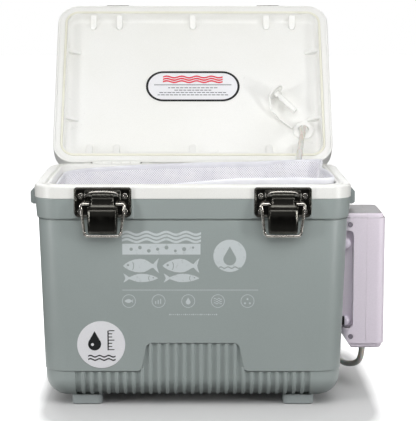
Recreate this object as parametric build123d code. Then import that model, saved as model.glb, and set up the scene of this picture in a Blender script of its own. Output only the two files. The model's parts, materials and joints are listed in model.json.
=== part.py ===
# Insulated live-bait cooler: hinged lid on two draw latches, net bag, battery air pump on the right side
# and an airline that passes through the lid.  Millimetres, +Z up, the front with its latches faces -Y.
# The box is built about its own centre line with the floor at z = 0.  The lid is built closed, then swung
# open about its hinge, and at the end everything moves so that the origin is the bottom centre of the whole.
import math
import os

from build123d import *

# ---------------------------------------------------------------- driving dimensions
# box
rim_width = 310.0
rim_depth = 205.0
rim_top = 222.5                # lid seat above the floor
rim_height = 12.5
rim_corner = 26.0
rim_edge_round = 2.2
foot_height = 9.8              # floor to the underside of the box
body_corner = 24.0
bottom_half_width = 146.0      # half widths of the grey shell at its levels
ledge_half_width = 147.1
waist_half_width = 151.8
groove_half_width = 150.6
band_low_half_width = 153.1
band_top_half_width = 154.6
ledge_height = 37.5
ledge_step = 0.7
band_height = 20.0             # grey band below the white rim
groove_height = 1.5
bottom_round = 20.0
body_wall = 3.4
# ribbed skid panels, front and back
panel_half_width = 116.0
panel_low_top = 37.0
panel_high_top = 66.0
panel_neck_half = 51.0
panel_crown_half = 45.0
panel_recess = 2.0
rib_count = 27
rib_pitch = 8.34
rib_width = 3.4
rib_stand = 1.8
# tub
opening_half_width = 141.0
opening_half_depth = 88.5
opening_corner = 18.0
tub_floor = 36.0
tub_half_width = 125.0
tub_half_depth = 73.0
tub_wall = 3.0
foam_gap = 0.3
bead_inset = 7.4               # sealing bead on the rim, from the rim's outer edge
bead_width = 2.2
bead_height = 0.6
drip_groove_width = 1.8
drip_groove_depth = 1.0
# feet
foot_x = 105.5
foot_y = 67.0
foot_width = 30.0
foot_depth = 24.0
# lid
lid_width = 311.0
lid_depth = 206.0
lid_height = 27.0
lid_gap = 1.8                  # rim top to lid edge when shut
lid_corner = 24.0
lid_crown_round = 8.0
lid_wall = 2.6
lid_open = 124.0               # degrees from shut to the stop
lid_recess = 10.0
lid_recess_inset = 12.0
lid_recess_draft = 2.5
lid_ring = 6.0
lid_pan_wall = 3.0
gasket_inset = 8.2
gasket_width = 2.8
gasket_depth = 2.2
gasket_stand = 0.9
gusset_xs = (-115.0, -85.0, 0.0, 85.0, 115.0)
gusset_ys = (-44.0, 44.0)
gusset_length = 15.0
gusset_thickness = 7.0
side_gusset_thickness = 4.0
lid_edge_round = 1.2
# lid hinges
hinge_x = 84.0
hinge_behind = 4.5             # pin axis behind the rim's rear face
hinge_below = 1.5              # pin axis below the rim's top
hinge_pin_radius = 1.6
knuckle_radius = 3.7
knuckle_count = 5
knuckle_width = 10.4
knuckle_gap = 0.3
leaf_width = 74.0
leaf_thickness = 1.6
leaf_height = 18.0
bracket_height = 24.0
bracket_flange = 2.5
# latches
latch_x = 87.0
plate_width = 55.6
plate_height = 29.5
plate_thickness = 1.3
plate_lip = 1.0
plate_drop = 1.1               # plate top below the rim's top
lever_pivot_drop = 8.7         # below the rim's top
lever_pivot_out = 4.1          # in front of the rim's face
lever_pin_radius = 1.3
lever_half_width = 14.2
lever_length = 37.2            # pivot to the lip
lever_sheet = 1.5
lever_out = 5.8                # pad in front of the pivot
lever_raise = 140.0
bail_pivot_drop = 8.1          # below the lever pivot
bail_pivot_out = 1.6           # in front of the lever pivot
bail_wire = 1.4
bail_top_half = 21.3
bail_low_half = 17.3
bail_length = 31.3
bail_swing = 180.0
keeper_half_width = 12.0
keeper_thickness = 1.2
# strap lugs
lug_out = 11.5
lug_half_width = 14.0
lug_height = 15.6
lug_slot_half = 9.0
lug_slot_depth = 4.8
# screws
screw_shank = 1.6
screw_head = 2.9
screw_head_height = 1.3
screw_reach = 5.0
# pump
pump_back = 152.5              # inner face of the pump, from the box centre line
pump_thickness = 43.0
pump_parting = 24.0            # back shell's share of the thickness
pump_width = 70.0
pump_bottom = 46.8
pump_height = 139.7
pump_corner = 8.0
pump_top_round = 2.6
pump_step = 2.0                # stepped ends
pump_step_height = 5.0
pump_wall = 2.2
pump_slant = 14.0              # bevel at the inner bottom edge
pump_rebate = 10.8             # side rebates in the back shell
pump_rebate_corner = 4.5
pump_rebate_depth = 8.0
pump_rebate_low = 21.0         # from the pump's bottom
pump_rebate_high = 121.6
bumper_radius = 5.8
bumper_low = 28.2
bumper_high = 108.2
cell_radius = 16.4
cell_length = 61.0
cell_y = 9.5
door_width = 35.0
door_height = 127.0
door_thickness = 2.0
door_barrel_radius = 1.5       # round hinge edge of the battery door
door_pin_radius = 1.0
door_pin_reach = 2.0
motor_y = -19.0
motor_radius = 12.0
motor_length = 30.0
switch_travel = 6.0
stud_low = 31.0                # keyhole studs above the pump's bottom
stud_high = 66.0
stud_neck = 3.5
stud_head = 6.0
# airline, 1/4 inch tube
hose_radius = 3.175
port_x = 124.0
port_from_rear = 45.0
# net bag
net_gap = 1.2
net_sheet = 1.2
# clearances
running_gap = 0.06
loose_gap = 0.3

# ---------------------------------------------------------------- derived sizes
side_difference = (rim_width - rim_depth) / 2
panel_end_y = bottom_half_width - side_difference - bottom_round - 1.0
half_x = rim_width / 2
half_y = rim_depth / 2
rim_bottom = rim_top - rim_height
band_bottom = rim_bottom - band_height
waist_top = band_bottom - groove_height
tub_top_outer = rim_bottom
lid_bottom = rim_top + lid_gap
lid_top = lid_bottom + lid_height
lid_front = -lid_depth / 2
lid_rear = lid_depth / 2
hinge_y = half_y + hinge_behind
hinge_z = rim_top - hinge_below
lever_y = -half_y - lever_pivot_out
lever_z = rim_top - lever_pivot_drop
bail_y = lever_y - bail_pivot_out
bail_z = lever_z - bail_pivot_drop
pump_front = pump_back + pump_thickness
pump_split = pump_back + pump_parting
pump_top = pump_bottom + pump_height
pump_center_x = (pump_back + pump_front) / 2
port_y = lid_rear - port_from_rear

parts = {}


# ---------------------------------------------------------------- helpers
def plan(half_w, half_d, corner, z):
    # rounded rectangle lying flat at height z
    return Plane.XY.offset(z) * RectangleRounded(2 * half_w, 2 * half_d, corner)


def body_plan(half_w, z, inset=0.0):
    half = half_w - inset
    return plan(half, half - side_difference, body_corner - inset, z)


def block(x0, x1, y0, y1, z0, z1):
    center = Pos((x0 + x1) / 2, (y0 + y1) / 2, (z0 + z1) / 2)
    return center * Box(x1 - x0, y1 - y0, z1 - z0)


def rod(start, end, radius):
    # straight cylinder between two points
    start, end = Vector(*start), Vector(*end)
    run = end - start
    return extrude(Plane(origin=start, z_dir=run) * Circle(radius), run.length)


def bottom_edges(solid):
    return solid.edges().group_by(Axis.Z)[0]


def top_edges(solid):
    return solid.edges().group_by(Axis.Z)[-1]


def upright_edges(solid):
    return solid.edges().filter_by(Axis.Z)


def side_profile(points, x0, x1):
    # closed outline in the y-z plane, extruded from x0 to x1
    face = make_face(Polyline(*[(x0, y, z) for y, z in points], close=True))
    return extrude(face, x1 - x0, dir=(1, 0, 0))


def swing_lid(shape):
    # from shut to the rest pose, open against the stop
    return Pos(0, hinge_y, hinge_z) * Rot(-lid_open, 0, 0) * Pos(0, -hinge_y, -hinge_z) * shape


def screw(at, outward):
    # pan head whose underside is at the given point, with its shank going inward
    out = Vector(*outward).normalized()
    at = Vector(*at)
    head = extrude(Plane(origin=at, z_dir=out) * Circle(screw_head), screw_head_height)
    head = fillet(head.faces().sort_by(Axis(at, out))[-1].edges(), 0.6)
    cross = Plane(origin=at + out * (screw_head_height - 0.5), z_dir=out)
    slot = extrude(cross * (Rectangle(2.6, 0.7) + Rectangle(0.7, 2.6)), 1)
    shank = rod(at, at - out * screw_reach, screw_shank)
    return head - slot + shank


def screw_hole(at, outward, above=3.0):
    # clearance for the shank, from above the head's seat to past the tip
    out = Vector(*outward).normalized()
    at = Vector(*at)
    return rod(at + out * above, at - out * (screw_reach + 0.5), screw_shank + 0.1)


def mirrored(shape):
    return mirror(shape, about=Plane.YZ)


# ---------------------------------------------------------------- grey outer body
def wall_half(z):
    # half width of the grey wall between the ledge and the waist
    share = (z - ledge_height) / (waist_top - ledge_height)
    return ledge_half_width + share * (waist_half_width - ledge_half_width)


def body_form():
    lower = loft([body_plan(bottom_half_width, foot_height),
                  body_plan(ledge_half_width - ledge_step, ledge_height)], ruled=True)
    lower = fillet(bottom_edges(lower), bottom_round)
    upper = loft([body_plan(ledge_half_width, ledge_height),
                  body_plan(waist_half_width, waist_top)], ruled=True)
    groove = extrude(body_plan(groove_half_width, waist_top), groove_height)
    band = loft([body_plan(band_low_half_width, band_bottom),
                 body_plan(band_top_half_width, rim_bottom)], ruled=True)
    return lower + upper + groove + band


def skid_panel():
    points = [(-panel_half_width, 0), (-panel_half_width, panel_low_top),
              (-panel_neck_half, panel_low_top), (-panel_crown_half, panel_high_top),
              (panel_crown_half, panel_high_top), (panel_neck_half, panel_low_top),
              (panel_half_width, panel_low_top), (panel_half_width, 0)]
    face = Plane.XZ * make_face(Polyline(*points, close=True))
    bends = [v for v in face.vertices() if abs(v.X) < panel_neck_half + 1]
    face = fillet(bends, 6.5)
    prism = extrude(face, half_y + 5)
    return prism - block(-200, 200, -panel_end_y, 200, -5, panel_high_top + 5)


def panel_floor():
    form = loft([body_plan(bottom_half_width - panel_recess, foot_height + panel_recess),
                 body_plan(wall_half(panel_high_top + 10) - panel_recess, panel_high_top + 10)],
                ruled=True)
    return fillet(bottom_edges(form), bottom_round - panel_recess)


def panel_edge(x):
    # top of the ribbed panel at x
    rise = (panel_neck_half - abs(x)) / (panel_neck_half - panel_crown_half)
    return panel_low_top + min(max(rise, 0.0), 1.0) * (panel_high_top - panel_low_top)


def rib(x):
    top = panel_edge(x) - 0.4
    low = foot_height + panel_recess
    face_at = lambda z: -(wall_half(z) - side_difference - panel_recess)
    path = FilletPolyline((x, face_at(top), top), (x, face_at(low), low),
                          (x, -panel_end_y, low), radius=bottom_round - panel_recess)
    section = Plane(origin=path @ 0, x_dir=(1, 0, 0), z_dir=path % 0)
    outline = Pos(0, rib_stand / 2 - 0.35) * RectangleRounded(rib_width, rib_stand + 0.7, 1.1)
    return sweep(section * outline, path=path)


def cavity_form(gap=0.0):
    form = loft([body_plan(bottom_half_width, foot_height + body_wall + gap, body_wall + gap),
                 body_plan(groove_half_width, rim_bottom, body_wall + gap)], ruled=True)
    return fillet(bottom_edges(form), bottom_round - body_wall)


def lug_screw_points(side):
    z = rim_bottom - 1 - lug_height / 2
    return [((side * (band_top_half_width + 2.0), y, z), (side, 0, 0))
            for y in (-lug_half_width - 4.5, lug_half_width + 4.5)]


def plate_screw_points(side):
    return [((side * latch_x + dx, -half_y - plate_thickness, rim_top - drop), (0, -1, 0))
            for dx in (-21.3, 21.3) for drop in (9.6, 24.4)]


def bracket_screw_points(side):
    return [((side * hinge_x + dx, half_y + bracket_flange, rim_bottom - 5.5), (0, 1, 0))
            for dx in (-31.5, 31.5)]


def leaf_screw_points(side):
    return [((side * hinge_x + dx, lid_rear + leaf_thickness, hinge_z + 13.5), (0, 1, 0))
            for dx in (-31.5, 31.5)]


def keeper_screw_points(side):
    return [((side * latch_x + dx, lid_front - keeper_thickness, bail_z + bail_length - 7.6), (0, -1, 0))
            for dx in (-7.5, 7.5)]


sides = {"left": -1, "right": 1}

form = body_form()
front_recess = skid_panel() - panel_floor()
form = form - front_recess - mirror(front_recess, about=Plane.XZ)
rib_xs = [(n - (rib_count - 1) / 2) * rib_pitch for n in range(rib_count)]
front_ribs = [rib(x) for x in rib_xs]
form = form + front_ribs + [mirror(r, about=Plane.XZ) for r in front_ribs]
for side in sides.values():
    x = side * latch_x
    form += block(x - plate_width / 2 - 1.5, x + plate_width / 2 + 1.5, -half_y, -half_y + 4,
                  band_bottom + 0.8, rim_bottom)
    x = side * hinge_x
    form += block(x - leaf_width / 2 - 1.5, x + leaf_width / 2 + 1.5, half_y - 4, half_y,
                  band_bottom + 0.8, rim_bottom)
    x0, x1 = sorted((side * (band_top_half_width - 4), side * band_top_half_width))
    form += block(x0, x1, -lug_half_width - 10, lug_half_width + 10, band_bottom + 0.8, rim_bottom)
outer_body = form - cavity_form()


# ---------------------------------------------------------------- tub, rim and foam
def tub_form(gap=0.0):
    grow = tub_wall + gap
    form = loft([plan(tub_half_width + grow, tub_half_depth + grow, opening_corner + grow, tub_floor - grow),
                 plan(opening_half_width + grow, opening_half_depth + grow, opening_corner + grow, rim_top)],
                ruled=True)
    return fillet(bottom_edges(form), 15.0)


def tub_opening(inset=0.0, rise=0.0):
    form = loft([plan(tub_half_width - inset, tub_half_depth - inset, opening_corner - inset,
                      tub_floor + inset),
                 plan(opening_half_width - inset, opening_half_depth - inset, opening_corner - inset,
                      rim_top + rise)], ruled=True)
    return fillet(bottom_edges(form), 13.0)


def rim_ring(inset, width, z, height):
    outer = plan(half_x - inset, half_y - inset, rim_corner - inset, z)
    inner = plan(half_x - inset - width, half_y - inset - width, rim_corner - inset - width, z)
    return extrude(outer - inner, height)


rim = extrude(plan(half_x, half_y, rim_corner, rim_bottom), rim_height)
rim = fillet(top_edges(rim), rim_edge_round)
tub = tub_form() - block(-200, 200, -200, 200, rim_bottom + 1, rim_top + 1)
liner = rim + tub - tub_opening()
liner = fillet(liner.edges().group_by(Axis.Z)[-1].filter_by(
    lambda e: abs(e.center().X) < opening_half_width + 1 and abs(e.center().Y) < opening_half_depth + 1), 1.4)
bead = rim_ring(bead_inset, bead_width, rim_top - 0.5, bead_height + 0.5)
liner = liner + bead - rim_ring(bead_inset + bead_width + 0.8, drip_groove_width,
                                rim_top - drip_groove_depth, 5.0)

foam = cavity_form(foam_gap) - tub_form(foam_gap)

# ---------------------------------------------------------------- feet
feet = []
for sx in (-1, 1):
    for sy in (-1, 1):
        foot = block(sx * foot_x - foot_width / 2, sx * foot_x + foot_width / 2,
                     sy * foot_y - foot_depth / 2, sy * foot_y + foot_depth / 2, 0, foot_height)
        foot = fillet(upright_edges(foot), 5.0)
        feet.append(fillet(bottom_edges(foot), 1.6))
parts["feet"] = feet

# ---------------------------------------------------------------- strap lugs
for name, side in sides.items():
    base_x = side * band_top_half_width
    low, high = rim_bottom - 1 - lug_height, rim_bottom - 1
    x0, x1 = sorted((base_x, base_x + side * 2.0))
    plate = block(x0, x1, -lug_half_width - 9, lug_half_width + 9, low, high)
    plate = fillet(plate.edges().filter_by(Axis.X), 3.0)
    outline = [(base_x, low), (base_x + side * (lug_out - 3), low),
               (base_x + side * lug_out, low + 1.6), (base_x + side * lug_out, high - 3),
               (base_x + side * (lug_out - 2.6), high), (base_x, high)]
    wedge = make_face(Plane.XZ * Polyline(*outline, close=True))
    lug = extrude(wedge, lug_half_width, both=True)
    lug = fillet(lug.edges().filter_by(lambda e: abs(e.center().X) > abs(base_x) + lug_out - 0.5), 1.0)
    slot_x = base_x + side * (2.0 + lug_slot_depth / 2)
    lug = lug + plate - block(slot_x - lug_slot_depth / 2, slot_x + lug_slot_depth / 2,
                              -lug_slot_half, lug_slot_half, low - 1, high + 1)
    for at, out in lug_screw_points(side):
        lug -= screw_hole(at, out)
        outer_body -= screw_hole(at, out)
    parts["strap_lug_" + name] = [lug]
parts["strap_lug_screws"] = [screw(at, out) for side in sides.values() for at, out in lug_screw_points(side)]


# ---------------------------------------------------------------- lid, built shut
def lid_plan(inset, z):
    return plan(lid_width / 2 - inset, lid_depth / 2 - inset, lid_corner - inset, z)


def lid_block(inset, z0, z1):
    return extrude(lid_plan(inset, z0), z1 - z0)


def recess_form(grow, top_extra):
    # hollow of the inner panel, wider at the lid's edge
    top = lid_bottom + lid_recess + top_extra
    return loft([lid_plan(lid_recess_inset - grow, lid_bottom),
                 lid_plan(lid_recess_inset + lid_recess_draft - grow, top)], ruled=True)


def rounded_prism(x, y, width, depth):
    # tall prism that rounds the ends of a gusset in plan
    outline = RectangleRounded(width, depth, min(width, depth) / 2 - 0.1)
    return extrude(Plane(origin=(x, y, lid_bottom)) * outline, 2 * lid_recess)


port_hole = rod((port_x, port_y, lid_bottom - 5), (port_x, port_y, lid_top + 5), 5.6)

lid_shell = fillet(top_edges(lid_block(0, lid_bottom, lid_top)), lid_crown_round)
lid_shell = fillet(bottom_edges(lid_shell), lid_edge_round)
shell_inside = lid_block(lid_wall, lid_bottom - 1, lid_top - lid_wall)
shell_inside = fillet(top_edges(shell_inside), lid_crown_round - lid_wall)
lid_shell = lid_shell - shell_inside - port_hole

panel_face = lid_bottom + lid_recess
lid_panel = lid_block(lid_wall + 0.1, lid_bottom, lid_bottom + lid_ring)
lid_panel += recess_form(lid_pan_wall, lid_pan_wall)
recess = fillet(top_edges(recess_form(0, 0)), 5.0)
lid_panel -= recess
gussets = []
wall_x = lid_width / 2 - lid_recess_inset
wall_y = lid_depth / 2 - lid_recess_inset
for x in gusset_xs:
    for sy in (-1, 1):
        outline = [(sy * (wall_y + 1), lid_bottom + 1.2), (sy * (wall_y + 1), panel_face + 1),
                   (sy * (wall_y - gusset_length), panel_face + 1),
                   (sy * (wall_y - gusset_length), panel_face - 1.5)]
        web = side_profile(outline, x - gusset_thickness / 2, x + gusset_thickness / 2)
        gussets.append(web & rounded_prism(x, sy * wall_y, gusset_thickness, 2 * gusset_length))
for y in gusset_ys:
    for sx in (-1, 1):
        outline = [(sx * (wall_x + 1), lid_bottom + 1.2), (sx * (wall_x + 1), panel_face + 1),
                   (sx * (wall_x - gusset_length), panel_face + 1),
                   (sx * (wall_x - gusset_length), panel_face - 1.5)]
        face = make_face(Plane.XZ * Polyline(*outline, close=True))
        web = Pos(0, y, 0) * extrude(face, side_gusset_thickness / 2, both=True)
        gussets.append(web & rounded_prism(sx * wall_x, y, 2 * gusset_length, side_gusset_thickness))
lid_panel += gussets
gasket_seat = (extrude(lid_plan(gasket_inset, lid_bottom), gasket_depth)
               - extrude(lid_plan(gasket_inset + gasket_width, lid_bottom), gasket_depth))
lid_panel = lid_panel - gasket_seat - port_hole

gasket_top = lid_bottom + gasket_depth
gasket = (lid_block(gasket_inset + 0.1, lid_bottom - gasket_stand, gasket_top)
          - lid_block(gasket_inset + gasket_width - 0.1, lid_bottom - gasket_stand, gasket_top))
gasket = fillet(bottom_edges(gasket), 0.9)

lid_foam = lid_block(lid_wall + foam_gap, lid_bottom + lid_ring + foam_gap, lid_top - lid_wall - foam_gap)
lid_foam = fillet(top_edges(lid_foam), lid_crown_round - lid_wall)
lid_foam = lid_foam - recess_form(lid_pan_wall + foam_gap, lid_pan_wall + foam_gap) - port_hole

label = extrude(Plane.XY.offset(panel_face - 0.3) * SlotOverall(106.0, 38.5), 0.3)

# grommet, its plug on a strap, and the stretch of airline that it holds
flange_face = panel_face - 2.6
grommet = rod((port_x, port_y, panel_face), (port_x, port_y, lid_top), 5.5)
inner_flange = rod((port_x, port_y, flange_face), (port_x, port_y, panel_face), 11.5)
grommet += fillet(bottom_edges(inner_flange), 1.2)
outer_face = lid_top + 1.6
outer_flange = rod((port_x, port_y, lid_top), (port_x, port_y, outer_face), 9.5)
grommet += fillet(top_edges(outer_flange), 0.8)
grommet -= rod((port_x, port_y, flange_face - 1), (port_x, port_y, outer_face + 1), hose_radius + running_gap)
grommet -= rod((port_x, port_y, flange_face - 1), (port_x, port_y, flange_face + 1.6), 6.0)
held_hose = rod((port_x, port_y, flange_face), (port_x, port_y, outer_face), hose_radius)

plug_radius = 10.0
plug_z = panel_face - plug_radius - 0.3
plug_at = Vector(94.0, lid_rear - 88.5, plug_z)
plug_tip = Vector(115.0, lid_rear - 65.0, plug_z)
plug_axis = (plug_tip - plug_at).normalized()
plug = rod(plug_at - plug_axis * 2.4, plug_at, plug_radius)
plug += rod(plug_at, plug_tip, 3.1)
plug += rod(plug_at, plug_at + plug_axis * 5, 4.2)
strap_start = plug_at - plug_axis * 1.2 + Vector(-plug_axis.Y, plug_axis.X, 0) * (plug_radius - 0.8)
strap_run = [strap_start, Vector(88.0, lid_rear - 70.0, plug_z + 4), Vector(98.0, lid_rear - 58.0, panel_face - 4.0),
             Vector(111.6, lid_rear - 47.4, panel_face - 2.1)]
strap_path = FilletPolyline(*strap_run, radius=7.0)
strap_section = Plane(origin=strap_path @ 0, z_dir=strap_path % 0) * Rectangle(3.4, 1.6)
plug += sweep(strap_section, path=strap_path)

# keepers that the bails hook over
hook_ledge = bail_z + bail_length - bail_wire - 0.2
keepers = []
for side in sides.values():
    x = side * latch_x
    face = lid_front
    plate = block(x - 13, x + 13, face - keeper_thickness, face, hook_ledge - 10.5, hook_ledge + 5.5)
    plate = fillet(plate.edges().filter_by(Axis.Y), 2.0)
    reach = bail_y - bail_wire - 0.7
    hook = [(face - keeper_thickness + 0.2, hook_ledge - 1.5), (reach, hook_ledge - 1.5),
            (reach - 1.4, hook_ledge - 0.3), (reach - 1.4, hook_ledge + 3.0),
            (reach, hook_ledge + 3.0), (reach, hook_ledge), (face - keeper_thickness + 0.2, hook_ledge)]
    keeper = plate + side_profile(hook, x - keeper_half_width, x + keeper_half_width)
    for at, out in keeper_screw_points(side):
        keeper -= screw_hole(at, out)
        lid_shell -= screw_hole(at, out)
        lid_panel -= screw_hole(at, out)
        lid_foam -= screw_hole(at, out)
    keepers.append(keeper)


# ---------------------------------------------------------------- hinges
def knuckles(side, body_side):
    # barrel pieces of one half of a hinge; the box has the odd ones, the lid the even ones
    pieces = []
    for n in range(knuckle_count):
        if (n % 2 == 0) != body_side:
            continue
        middle = side * hinge_x + (n - (knuckle_count - 1) / 2) * knuckle_width
        x0 = middle - knuckle_width / 2 + knuckle_gap / 2
        x1 = middle + knuckle_width / 2 - knuckle_gap / 2
        pieces.append((x0, x1))
    return pieces


def barrel(x0, x1, radius):
    return rod((x0, hinge_y, hinge_z), (x1, hinge_y, hinge_z), radius)


lean = math.radians(lid_open - 90)
leaf_clear = lid_rear + leaf_thickness - hinge_y      # leaf's outer face from the pin axis, negative
stop_gap = 0.25


def stop_point(along):
    # point just under the open lid's leaf, a distance along it from the pin
    out = leaf_clear + stop_gap
    return (hinge_y + along * math.cos(lean) - out * math.sin(lean),
            hinge_z - along * math.sin(lean) - out * math.cos(lean))


hinge_pins = []
leaves = []
span = knuckle_count * knuckle_width
for name, side in sides.items():
    middle = side * hinge_x
    low = rim_bottom - bracket_height + 10
    shoulder = [(half_y, low), (half_y + bracket_flange, low), (stop_point(12.5)[0], stop_point(12.5)[1] - 5),
                stop_point(12.5), stop_point(knuckle_radius + 1.0), (hinge_y, hinge_z - 1.0),
                (half_y, hinge_z - 1.0)]
    bracket = side_profile(shoulder, middle - span / 2, middle + span / 2)
    flange = block(middle - leaf_width / 2, middle + leaf_width / 2, half_y, half_y + bracket_flange,
                   low, rim_bottom + 4)
    bracket += fillet(flange.edges().filter_by(Axis.Y), 3.0)
    leaf = block(middle - leaf_width / 2, middle + leaf_width / 2, lid_rear, lid_rear + leaf_thickness,
                 hinge_z + knuckle_radius + 0.7, hinge_z + knuckle_radius + 0.7 + leaf_height)
    leaf = fillet(leaf.edges().filter_by(Axis.Y), 2.0)
    for x0, x1 in knuckles(side, False):
        bracket -= barrel(x0 - knuckle_gap, x1 + knuckle_gap, knuckle_radius + 0.4)
        leaf += barrel(x0, x1, knuckle_radius)
        leaf += block(x0, x1, lid_rear, lid_rear + leaf_thickness, hinge_z, hinge_z + knuckle_radius + 2)
    for x0, x1 in knuckles(side, True):
        bracket += barrel(x0, x1, knuckle_radius)
    pin_span = span / 2 + 1.2
    bore = barrel(middle - span, middle + span, hinge_pin_radius + running_gap)
    bracket -= bore
    leaf -= bore
    pin = barrel(middle - pin_span, middle + pin_span, hinge_pin_radius)
    pin += barrel(middle - pin_span - 1.0, middle - pin_span, hinge_pin_radius + 0.8)
    pin += barrel(middle + pin_span, middle + pin_span + 1.0, hinge_pin_radius + 0.8)
    hinge_pins.append(pin)
    for at, out in bracket_screw_points(side):
        bracket -= screw_hole(at, out)
        outer_body -= screw_hole(at, out)
    for at, out in leaf_screw_points(side):
        leaf -= screw_hole(at, out)
        lid_shell -= screw_hole(at, out)
        lid_panel -= screw_hole(at, out)
        lid_foam -= screw_hole(at, out)
    parts["hinge_bracket_" + name] = [bracket]
    leaves.append(leaf)
parts["hinge_pins"] = hinge_pins
parts["hinge_bracket_screws"] = [screw(at, out) for s in sides.values() for at, out in bracket_screw_points(s)]

lid_parts = {
    "lid_shell": [lid_shell],
    "lid_inner_panel": [lid_panel],
    "lid_insulation": [lid_foam],
    "lid_gasket": [gasket],
    "lid_label": [label],
    "hose_grommet": [grommet],
    "grommet_plug": [plug],
    "hose_in_lid": [held_hose],
    "latch_keepers": keepers,
    "keeper_screws": [screw(at, out) for s in sides.values() for at, out in keeper_screw_points(s)],
    "hinge_leaves": leaves,
    "hinge_leaf_screws": [screw(at, out) for s in sides.values() for at, out in leaf_screw_points(s)],
}
for name, solids in lid_parts.items():
    parts[name] = [swing_lid(s) for s in solids]


# ---------------------------------------------------------------- draw latches
def latch_plate(x):
    low = rim_top - plate_drop - plate_height
    high = rim_top - plate_drop
    face = -half_y
    sheet = block(x - plate_width / 2, x + plate_width / 2, face - plate_thickness - plate_lip, face, low, high)
    corners = sheet.edges().filter_by(Axis.Y).group_by(Axis.Z)
    sheet = fillet(corners[0], 5.5)
    sheet = fillet(sheet.edges().filter_by(Axis.Y).group_by(Axis.Z)[-1], 3.0)
    sheet = fillet(sheet.faces().sort_by(Axis.Y)[0].edges(), 0.9)
    dish = block(x - plate_width / 2 + 1.9, x + plate_width / 2 - 1.9, face - plate_thickness - 3,
                 face - plate_thickness, low + 1.7, high - 1.7)
    dish = fillet(dish.edges().filter_by(Axis.Y).group_by(Axis.Z)[0], 3.8)
    sheet -= dish
    ears = []
    for ear_x in (-16.7, 15.1):
        web = [(face - plate_thickness + 0.2, lever_z + 4.0), (lever_y - 1.2, lever_z + 3.3),
               (lever_y - 3.2, lever_z + 1.2), (lever_y - 3.2, lever_z - 1.4),
               (lever_y - 0.5, lever_z - 3.6), (face - plate_thickness + 0.2, lever_z - 6.5)]
        ear = side_profile(web, x + ear_x, x + ear_x + 1.6)
        ears.append(ear)
    hood = block(x - 15.1, x + 15.1, lever_y + 0.7, face - plate_thickness + 0.2, lever_z + 3.25, lever_z + 4.4)
    sheet = sheet + ears + fillet(hood.edges().filter_by(Axis.X), 0.5)
    sheet -= rod((x - 20, lever_y, lever_z), (x + 20, lever_y, lever_z), lever_pin_radius + running_gap)
    return sheet


def lever_pin(x):
    pin = rod((x - 17.2, lever_y, lever_z), (x + 17.2, lever_y, lever_z), lever_pin_radius)
    pin += rod((x - 17.6, lever_y, lever_z), (x - 16.8, lever_y, lever_z), lever_pin_radius + 0.8)
    pin += rod((x + 16.8, lever_y, lever_z), (x + 17.6, lever_y, lever_z), lever_pin_radius + 0.8)
    return pin


def latch_lever(x):
    front = lever_y - lever_out + lever_sheet / 2
    lip_z = lever_z - lever_length
    web_path = Spline((x, lever_y - 2.0, lever_z), (x, lever_y - 2.1, lever_z - 8.5),
                      (x, front + 0.8, lever_z - 13.2), (x, front, lever_z - 20.0),
                      (x, front + 0.2, lip_z + 5.0), (x, front + 3.6, lip_z + 0.8))
    section = Plane(origin=web_path @ 0, x_dir=(1, 0, 0), z_dir=web_path % 0)
    web = sweep(section * Rectangle(2 * lever_half_width, lever_sheet), path=web_path)
    curl = rod((x - lever_half_width, lever_y, lever_z), (x + lever_half_width, lever_y, lever_z), 2.8)
    flange_line = [(lever_y + 0.9, lever_z - 1.0), (lever_y - 2.3, lever_z - 1.0), (lever_y - 2.3, lever_z - 9.0),
                   (front - 0.2, lever_z - 14.0), (front - 0.3, lip_z + 5.5), (front + 1.6, lip_z + 2.8),
                   (lever_y + 1.0, lip_z + 7.5), (lever_y + 1.3, lever_z - 14.0)]
    cheeks = [side_profile(flange_line, x - lever_half_width, x - lever_half_width + lever_sheet),
              side_profile(flange_line, x + lever_half_width - lever_sheet, x + lever_half_width)]
    pad_face = Plane(origin=(x, front - lever_sheet / 2 + 0.3, lever_z - 23.2), x_dir=(1, 0, 0), z_dir=(0, -1, 0))
    pad = extrude(pad_face * RectangleRounded(26.0, 23.0, 4.0), 2.0, taper=38)
    lever = web + curl + cheeks + pad
    lever -= rod((x - 20, lever_y, lever_z), (x + 20, lever_y, lever_z), lever_pin_radius + running_gap)
    for sx in (-1, 1):
        inner = x + sx * (lever_half_width - lever_sheet - 1)
        lever -= rod((inner, bail_y, bail_z), (inner + sx * 6, bail_y, bail_z), bail_wire + running_gap)
    return lever


def latch_bail(x):
    low = bail_z - bail_length
    toe = lever_half_width - lever_sheet + 0.2
    points = [(-toe, bail_z), (-bail_top_half, bail_z), (-bail_low_half, low), (bail_low_half, low),
              (bail_top_half, bail_z), (toe, bail_z)]
    path = FilletPolyline(*[(x + px, bail_y, pz) for px, pz in points], radius=[2.4, 4.0, 4.0, 2.4])
    section = Plane(origin=path @ 0, z_dir=path % 0) * Circle(bail_wire)
    return sweep(section, path=path)


for name, side in sides.items():
    x = side * latch_x
    plate = latch_plate(x)
    for at, out in plate_screw_points(side):
        plate -= screw_hole(at, out)
        outer_body -= screw_hole(at, out)
        liner -= screw_hole(at, out)
    parts["latch_plate_" + name] = [plate]
    parts["latch_lever_" + name] = [latch_lever(x)]
    parts["latch_bail_" + name] = [latch_bail(x)]
parts["latch_lever_pins"] = [lever_pin(side * latch_x) for side in sides.values()]
parts["latch_plate_screws"] = [screw(at, out) for s in sides.values() for at, out in plate_screw_points(s)]

# ---------------------------------------------------------------- size sticker on the front wall
sticker_x, sticker_z, sticker_radius = -90.0, 64.5, 23.7
wall_tilt = math.atan((waist_half_width - ledge_half_width) / (waist_top - ledge_height))
sticker_y = -(wall_half(sticker_z) - side_difference)
sticker_plane = Plane(origin=(sticker_x, sticker_y, sticker_z), x_dir=(1, 0, 0),
                      z_dir=(0, -math.cos(wall_tilt), -math.sin(wall_tilt)))
parts["size_sticker"] = [extrude(sticker_plane * Circle(sticker_radius), 0.3)]

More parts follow.
